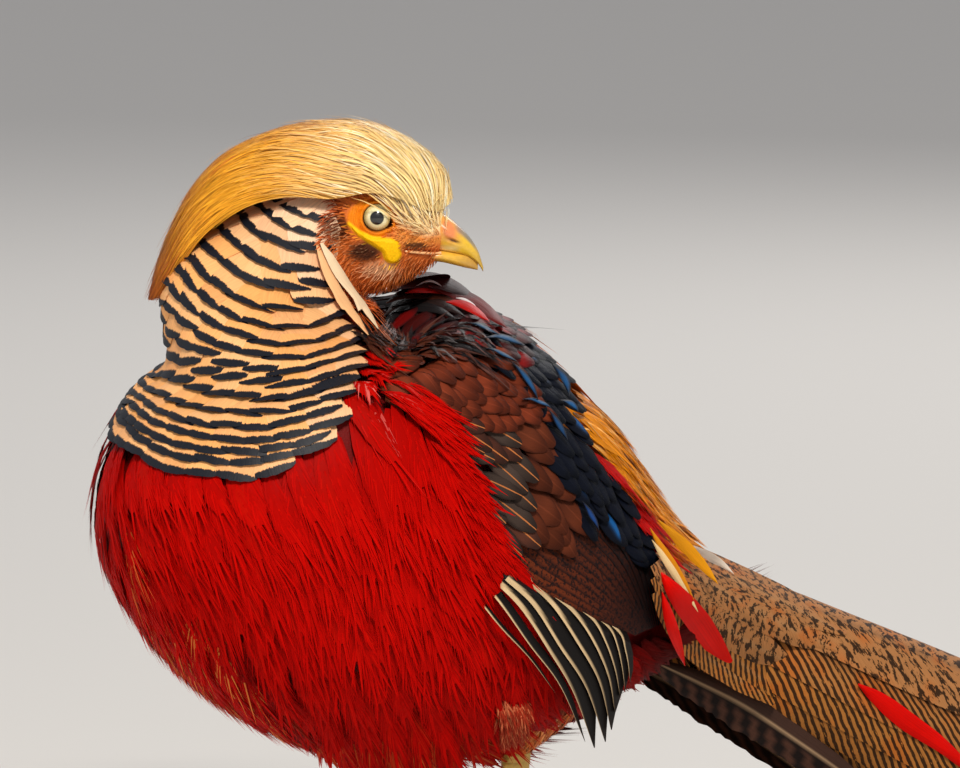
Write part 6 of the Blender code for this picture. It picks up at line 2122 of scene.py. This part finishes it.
def make_dark_feather():
    """The dark outermost feather below each side of the tail, with broad dull bars and a pale shaft."""
    depth = depth_plane(tail, ((745, 690), (780, 715), (720, 660), (840, 735)), (0.2, 4.0), (60.0, 160.0))
    steps, x = np.linspace(0, 1, 48), np.linspace(-1, 1, 25)
    shaft = curve(DARK_SHAFT, steps * 5)
    run = unit(np.gradient(shaft, axis=0))
    aside = np.stack([-run[:, 1], run[:, 0]], axis=-1)
    wide = np.interp(steps, (0, 0.15, 0.4, 0.75, 1.0), (0.3, 0.7, 1.0, 0.8, 0.1))[:, None]
    ragged = 1.0 + 0.05 * np.sin(steps * 97.0 + 2.0 * np.sin(steps * 23.0))[:, None] * smooth(0.3, 1.0, x)
    wide = np.where(x < 0, DARK_UP, DARK_DOWN) * x * wide * ragged
    grid = shaft[:, None] + aside[:, None] * wide[..., None]
    away = depth(grid) - 0.6 + 2.4 * x[None, :] ** 2
    points = from_pixels(grid, away)
    points = np.array([points, points * (-1, 1, 1)])

    def tint(laid, across, along):
        colour = mix(OUTER_DARK, OUTER_BROWN, smooth(0.1, -0.2, across))
        bars = smooth(-0.2, 0.5, np.sin(along * 88.0 - across * 4.0)) * smooth(0.1, 0.4, across)
        colour = mix(colour, OUTER_BAR, 0.75 * bars)
        return mix(colour, OUTER_SHAFT, 1 - smooth(0.04, 0.12, np.abs(across)))

    silk = feather_material("dark_vanes", 0.5, lines=26.0, depth=0.3, specular=0.2)
    piece("tail_dark", [loose_block(points, x, steps, tint)], silk)


# Long scarlet and golden feathers over the root of the tail: middles by pixels of the frame, and widths, with
# a colour for each golden one; the last golden one is a pale strip painted as a highlight along the top of
# the tail.
SCARLET_COVERTS = (
    (((660, 572), (678, 596), (700, 624), (721, 655), (739, 685)), 25.0),
    (((662, 592), (667, 610), (673, 630), (679, 648), (685, 666)), 12.0),
    (((858, 684), (880, 700), (908, 722), (945, 748), (985, 785)), 20.0),
)
GOLDEN_COVERTS = (
    (((652, 540), (663, 556), (675, 574), (687, 593), (698, 612)), 8.0, (240, 206, 150)),
    (((650, 528), (660, 545), (672, 563), (684, 582), (694, 600)), 8.0, (222, 138, 22)),
    (((658, 520), (675, 536), (690, 551), (705, 568), (718, 584)), 12.0, (222, 146, 20)),
    # A pale strip along the top of the tail: a painted highlight.
    (((690, 545), (702, 552), (712, 558), (722, 564), (734, 574)), 9.0, (206, 190, 174)),
)
SPOTTED_COVERTS = (
    (((664, 536), (698, 560), (742, 582), (792, 606), (846, 634)), 30.0),
    (((660, 548), (692, 572), (735, 598), (783, 624), (838, 650)), 36.0),
    (((656, 562), (680, 590), (712, 618), (750, 643), (792, 664)), 36.0),
)
BARRED_COVERTS = (
    (((656, 576), (680, 608), (710, 639), (748, 669), (790, 698)), 34.0),
    (((656, 592), (672, 620), (695, 648), (730, 673), (774, 704)), 26.0),
)
COVERT_ANCHORS = ((700, 620), (740, 640), (760, 680), (720, 590))


def root_coats():
    """The coats at the root of the tail that its long coverts lie on."""
    return ((body, (9.0, 18.9), (15.0, 165.0), 0.6), (tail, (0.1, 5.0), (2.0, 165.0), -0.6))


# The skyline of the feathers over the root of the tail, by pixels of the frame.
COVERT_TOP = ((676, 532), (697, 546), (720, 552), (742, 559), (764, 568), (786, 579), (812, 592), (840, 606),
              (872, 622))


def covert_depth():
    """Distance from the camera to the slope of feathers between the rump and the tail, at pixels."""
    spots, depth = [], []
    for line, _ in SPOTTED_COVERTS + BARRED_COVERTS:
        spots.append(trace(line, 1.0)[:, 0])
        depth.append(nearest(curve(line, np.linspace(0, 1, 9) * 4), root_coats()))
    top = np.array(COVERT_TOP, float)
    near, far = from_pixels(top, np.full(len(top), 1000.0)), from_pixels(top, np.full(len(top), 3000.0))
    for _ in range(2):
        spots.append(top)
        depth.append(1000.0 + 2000.0 * near[:, 0] / (near[:, 0] - far[:, 0]))

    def powers(spots):
        x, y = (spots[..., 0] - 760.0) / 100.0, (spots[..., 1] - 610.0) / 100.0
        return np.stack([1 + 0 * x, x, y, x * x, x * y, y * y, x**3, x * x * y, x * y * y, y**3], axis=-1)

    fit = np.linalg.lstsq(powers(np.concatenate(spots)), np.concatenate(depth), rcond=None)[0]

    def depth_at(spots):
        return powers(spots) @ fit

    return depth_at


def make_tail_coverts(feathers, depth, front, first):
    """Spotted or barred feathers over the root of the tail, as blocks with a map in millimetres."""
    blocks = []
    x = np.linspace(-1, 1, TRACE_COLUMNS)
    for number, (spots, width) in enumerate(feathers):
        grid = trace(spots, width, BLUNT)
        lift = (front - 0.4 * number) * np.interp(np.linspace(0, 1, TRACE_ROWS), (0, 0.3, 1), (0.3, 1.0, 0.8))
        points = from_pixels(grid, depth(grid) - lift[:, None] + 0.8 * x[None, :] ** 2)
        points[..., 0] = np.maximum(points[..., 0], 0.0)
        reach = np.linalg.norm(np.diff(points[:, TRACE_COLUMNS // 2], axis=0), axis=1)
        reach = np.concatenate([[0], np.cumsum(reach)])
        aside = x[None, :] * np.linalg.norm(points[:, -1] - points[:, 0], axis=1)[:, None] / 2
        shaft = np.exp(-((x / 0.1) ** 2))[None, :] * np.ones((TRACE_ROWS, 1))
        colour = CINNAMON if len(feathers) == 3 else BUFF
        for side in (1, -1):
            part = sheet(points * (side, 1, 1), mix(colour, COVERT_SHAFT, 0.5 * shaft))
            vane_map = np.stack([aside - 40.0, reach[:, None] + 50.0 * number + 0 * aside], axis=-1)
            blocks.append(mapped(part, vane_map, first + 2 * number + (side < 0)))
    return blocks


def make_coverts():
    """Lance-shaped scarlet and golden feathers over the root of the tail, and a pale strip painted as a
    highlight along its top.
    """
    plane = depth_plane(tail, COVERT_ANCHORS, (0.1, 4.0), (5.0, 140.0))
    fade = 1.0 - 0.25 * np.linspace(0, 1, TRACE_ROWS)
    sheets, colours = [], []
    for number, (spots, width) in enumerate(SCARLET_COVERTS):
        sheets.append(drawn(spots, width, root_coats(), plane, (10.0 if number < 2 else 2.2) * fade, cup=1.4))
        colours.append(COVERT_RED)
    for number, (spots, width, colour) in enumerate(GOLDEN_COVERTS):
        sheets.append(drawn(spots, width, root_coats(), plane, 12.0 + 1.5 * number, cup=0.5))
        colours.append(srgb(*colour))
    silk = feather_material("covert_silk", 0.42, lines=26.0, depth=0.4, specular=0.12)
    piece("long_coverts_and_highlight", [pair_block(sheets, colours)], silk, ("tail_coverts",))


# Legs and feet.

LEG = (
    (70.0, 4.6),
    (60.0, 4.9),
    (54.0, 4.0),
    (40.0, 3.4),
    (22.0, 3.4),
    (13.0, 4.2),
    (6.0, 4.6),
    (2.0, 3.2),
)
SPUR_Z, SPUR_LENGTH, SPUR_RADIUS = 26.0, 9.0, 2.0
TOES = {"middle": (4.0, 43.0), "inner": (-34.0, 32.0), "outer": (40.0, 34.0), "hind": (172.0, 15.0)}
TOE_RADIUS, TOE_SCUTE, CLAW_LENGTH, CLAW_RADIUS = 3.1, 2.3, 9.0, 1.9


def leg_block(side):
    """The bare leg, with overlapping scutes in front."""
    p, turn = np.meshgrid(np.linspace(0, len(LEG) - 1, 150), np.radians(np.arange(48) * 7.5), indexing="ij")
    row = curve(LEG, p)
    z, radius = row[..., 0], row[..., 1]
    front = np.clip(np.sin(turn) * -1, 0, 1)
    scute = np.mod(z / 3.1 + 0.5 * (np.cos(turn) > 0), 1.0)
    radius = radius + 0.32 * front**0.5 * (scute**0.6 - 0.5)
    radius = radius + 0.12 * (1 - front) * np.sin(z * 4.0) * np.sin(turn * 9)
    y = ANKLE_Y + (FOOT_Y - ANKLE_Y) * (THIGH_LOW_Z - z) / THIGH_LOW_Z
    x = side * LEG_SPREAD + radius * 0.85 * np.cos(turn)
    point = np.stack([x, y + radius * np.sin(turn), z], axis=-1)
    colour = mix(LEG_YELLOW, SHANK_BROWN, 0.5 * (scute < 0.12) * front + 0.25 * (1 - front))
    return tube(point, colour)


def rod(start, ahead, stations, tint, around=24):
    """A tube along a line: how far, how high, how wide and how tall at each station."""
    across = np.cross(ahead, UP)
    turn = np.radians(np.arange(around) * 360.0 / around)
    rows = np.asarray(stations, float)
    middle = start + rows[:, 0:1] * ahead + rows[:, 1:2] * UP
    ring = rows[:, 2:3, None] * np.cos(turn)[None, :, None] * across
    ring = ring + rows[:, 3:4, None] * np.sin(turn)[None, :, None] * UP
    return tube(middle[:, None, :] + ring, tint)


def toe(centre, ahead, length):
    """One toe with its knuckles and scutes."""
    share = np.linspace(-0.06, 1, 90)
    knuckle = 1 + 0.07 * np.cos(share * 8 * math.pi)
    scute = np.mod(share * length / TOE_SCUTE, 1.0)
    wide = TOE_RADIUS * (1.05 - 0.36 * share) * knuckle
    wide = wide * np.sqrt(np.clip((1.03 - share) / 0.1, 0.05, 1))
    tall = wide * 0.92 + 0.16 * (scute**0.6 - 0.5)
    stations = np.stack([length * share, tall * 0.98, wide, tall], axis=-1)
    colour = mix(LEG_YELLOW, TOE_BROWN, 0.6 * (scute < 0.16))[:, None, :] * np.ones((1, 24, 1))
    return rod(centre, ahead, stations, colour)


def claw(centre, ahead, length):
    """The curved claw at the end of a toe."""
    share = np.linspace(-0.12, 1, 26)
    out = np.clip(share, 0, 1)
    rise = 2.5 + 0.9 * np.sin(out * math.pi * 0.9) - 1.9 * out**2
    slim = CLAW_RADIUS * (1 - 0.93 * out**1.3) * 0.85
    stations = np.stack([length + CLAW_LENGTH * share, rise, slim * 0.75, slim], axis=-1)
    colour = mix(CLAW_ROOT, CLAW_TIP, out)[:, None, :] * np.ones((1, 24, 1))
    return rod(centre, ahead, stations, colour)


def make_foot(side, tag, scutes, horn):
    """The toes of one foot as one piece, and a claw on each."""
    centre = np.array([side * LEG_SPREAD, FOOT_Y, 0.0])
    toes = []
    for name, (heading, length) in TOES.items():
        angle = math.radians(heading)
        ahead = np.array([side * math.sin(angle), -math.cos(angle), 0.0])
        toes.append(toe(centre, ahead, length))
        nail = claw(centre, ahead, length)
        piece(f"nail_{tag}_{name}", [nail], horn, (f"claw_{tag}_{name}",), weld=True)
    piece(f"toes_{tag}", toes, scutes, (f"foot_{tag}",), weld=True)


def make_legs():
    """Legs with a spur, toes with knuckles and scutes, and curved claws."""
    scutes = grained("leg_scutes", 0.42, (900.0, 3.0), (0.6, 0.7), (0.35, 0.0003), Specular_IOR_Level=0.45)
    horn = grained("claw_gloss", 0.3, (600.0, 3.0), (0.6, 0.7), Specular_IOR_Level=0.5)
    for tag, side in SIDES.items():
        base = np.array([side * (LEG_SPREAD - 1.5), FOOT_Y + 2.5, SPUR_Z])
        out = unit(np.array([-side * 2.5, SPUR_LENGTH, 1.5]))
        share = np.linspace(0, 1, 12)
        slim = SPUR_RADIUS * (1 - 0.85 * share)
        spur = np.stack([SPUR_LENGTH * share, 0.8 * share**2, slim, slim], axis=-1)
        blocks = [leg_block(side), rod(base, out, spur, SPUR_HORN)]
        piece(f"shank_{tag}", blocks, scutes, (f"leg_{tag}",), weld=True)
        make_foot(side, tag, scutes, horn)
        make_thigh(side, tag)


def make_thigh(side, tag):
    """Soft rusty and pale feathers of the thigh, down to the bare leg."""
    p, d = scatter(thigh(side), (0.2, 4.9), (0.0, 360.0), 3.4, 131)
    draw = np.random.default_rng(131)
    heading, length = draw.normal(0, 8, len(p)), 10 + 4 * draw.random(len(p))
    laid = lay(thigh(side), p, d, heading, length, (-2.0, -0.9, -0.2, 0.2), rows=5, last=5.4)

    def tint(laid, across, along):
        place = rooted(laid, "place", across)
        colour = mix(DEEP_RED, RUST, smooth(1.0, 3.2, place + chance(across, 132) - 0.5))
        return varied(mix(colour, THIGH_CREAM, 0.5 * (chance(across, 133, 2) > 0.8)), across, 134, 0.25)

    silk = feather_material(f"thigh_silk_{tag}", 0.55, lines=4.0)
    piece(f"thigh_feathers_{tag}",
          [block(laid, barbs(laid, 6.5, 10, ROUND, thickness=0.7, reach=0.45, seed=135), tint)], silk)


def tuft_tint(laid, across, along):
    """Rusty, with some paler barbs."""
    return varied(mix(TUFT_RED, TUFT_PALE, chance(across, 133, 2) > 0.75), across, 134, 0.3)


def make_thigh_tufts():
    """Short rusty feathers where each leg comes out of the belly's scarlet ones."""
    draw = np.random.default_rng(131)
    count = 240
    fall = draw.random(count)
    middle, half = 513 - 2 * fall, 15 - 5 * fall
    spots = np.stack([middle + half * (2 * draw.random(count) - 1), 700 + 34 * fall], axis=-1)
    p, d = seen(body, spots, (12.0, 18.6), (70.0, 176.0))
    heading = screen_heading(p, d, 92.0 + 10.0 * draw.normal(0, 1, count))
    lift = np.array([-2.6, 0.2, 1.6, 2.4]) + 1.2 * (draw.random(count) - 0.5)[:, None]
    length = 7.0 + 3.0 * draw.random(count)
    blocks = []
    for side in (1, -1):
        laid = lay(body, p, side * d, side * heading, length, lift, rows=5)
        tufts = barbs(laid, 2.4, 7, LANCE, thickness=0.4, reach=0.5, seed=132)
        blocks.append(block(laid, tufts, tuft_tint))
    cloth = feather_material("thigh_tufts", 0.55, lines=5.0, specular=0.2)
    piece("thigh_tufts", blocks, cloth)


def main():
    """The stage, then every piece of the bird."""
    make_stage()
    make_skin()
    make_face()
    make_eyes()
    make_bill()
    make_crest()
    make_cape()
    make_red_coat()
    make_rump()
    make_mantle()
    make_shoulder()
    make_wings()
    make_tail()
    make_legs()
    make_thigh_tufts()


main()
bpy.context.view_layer.update()
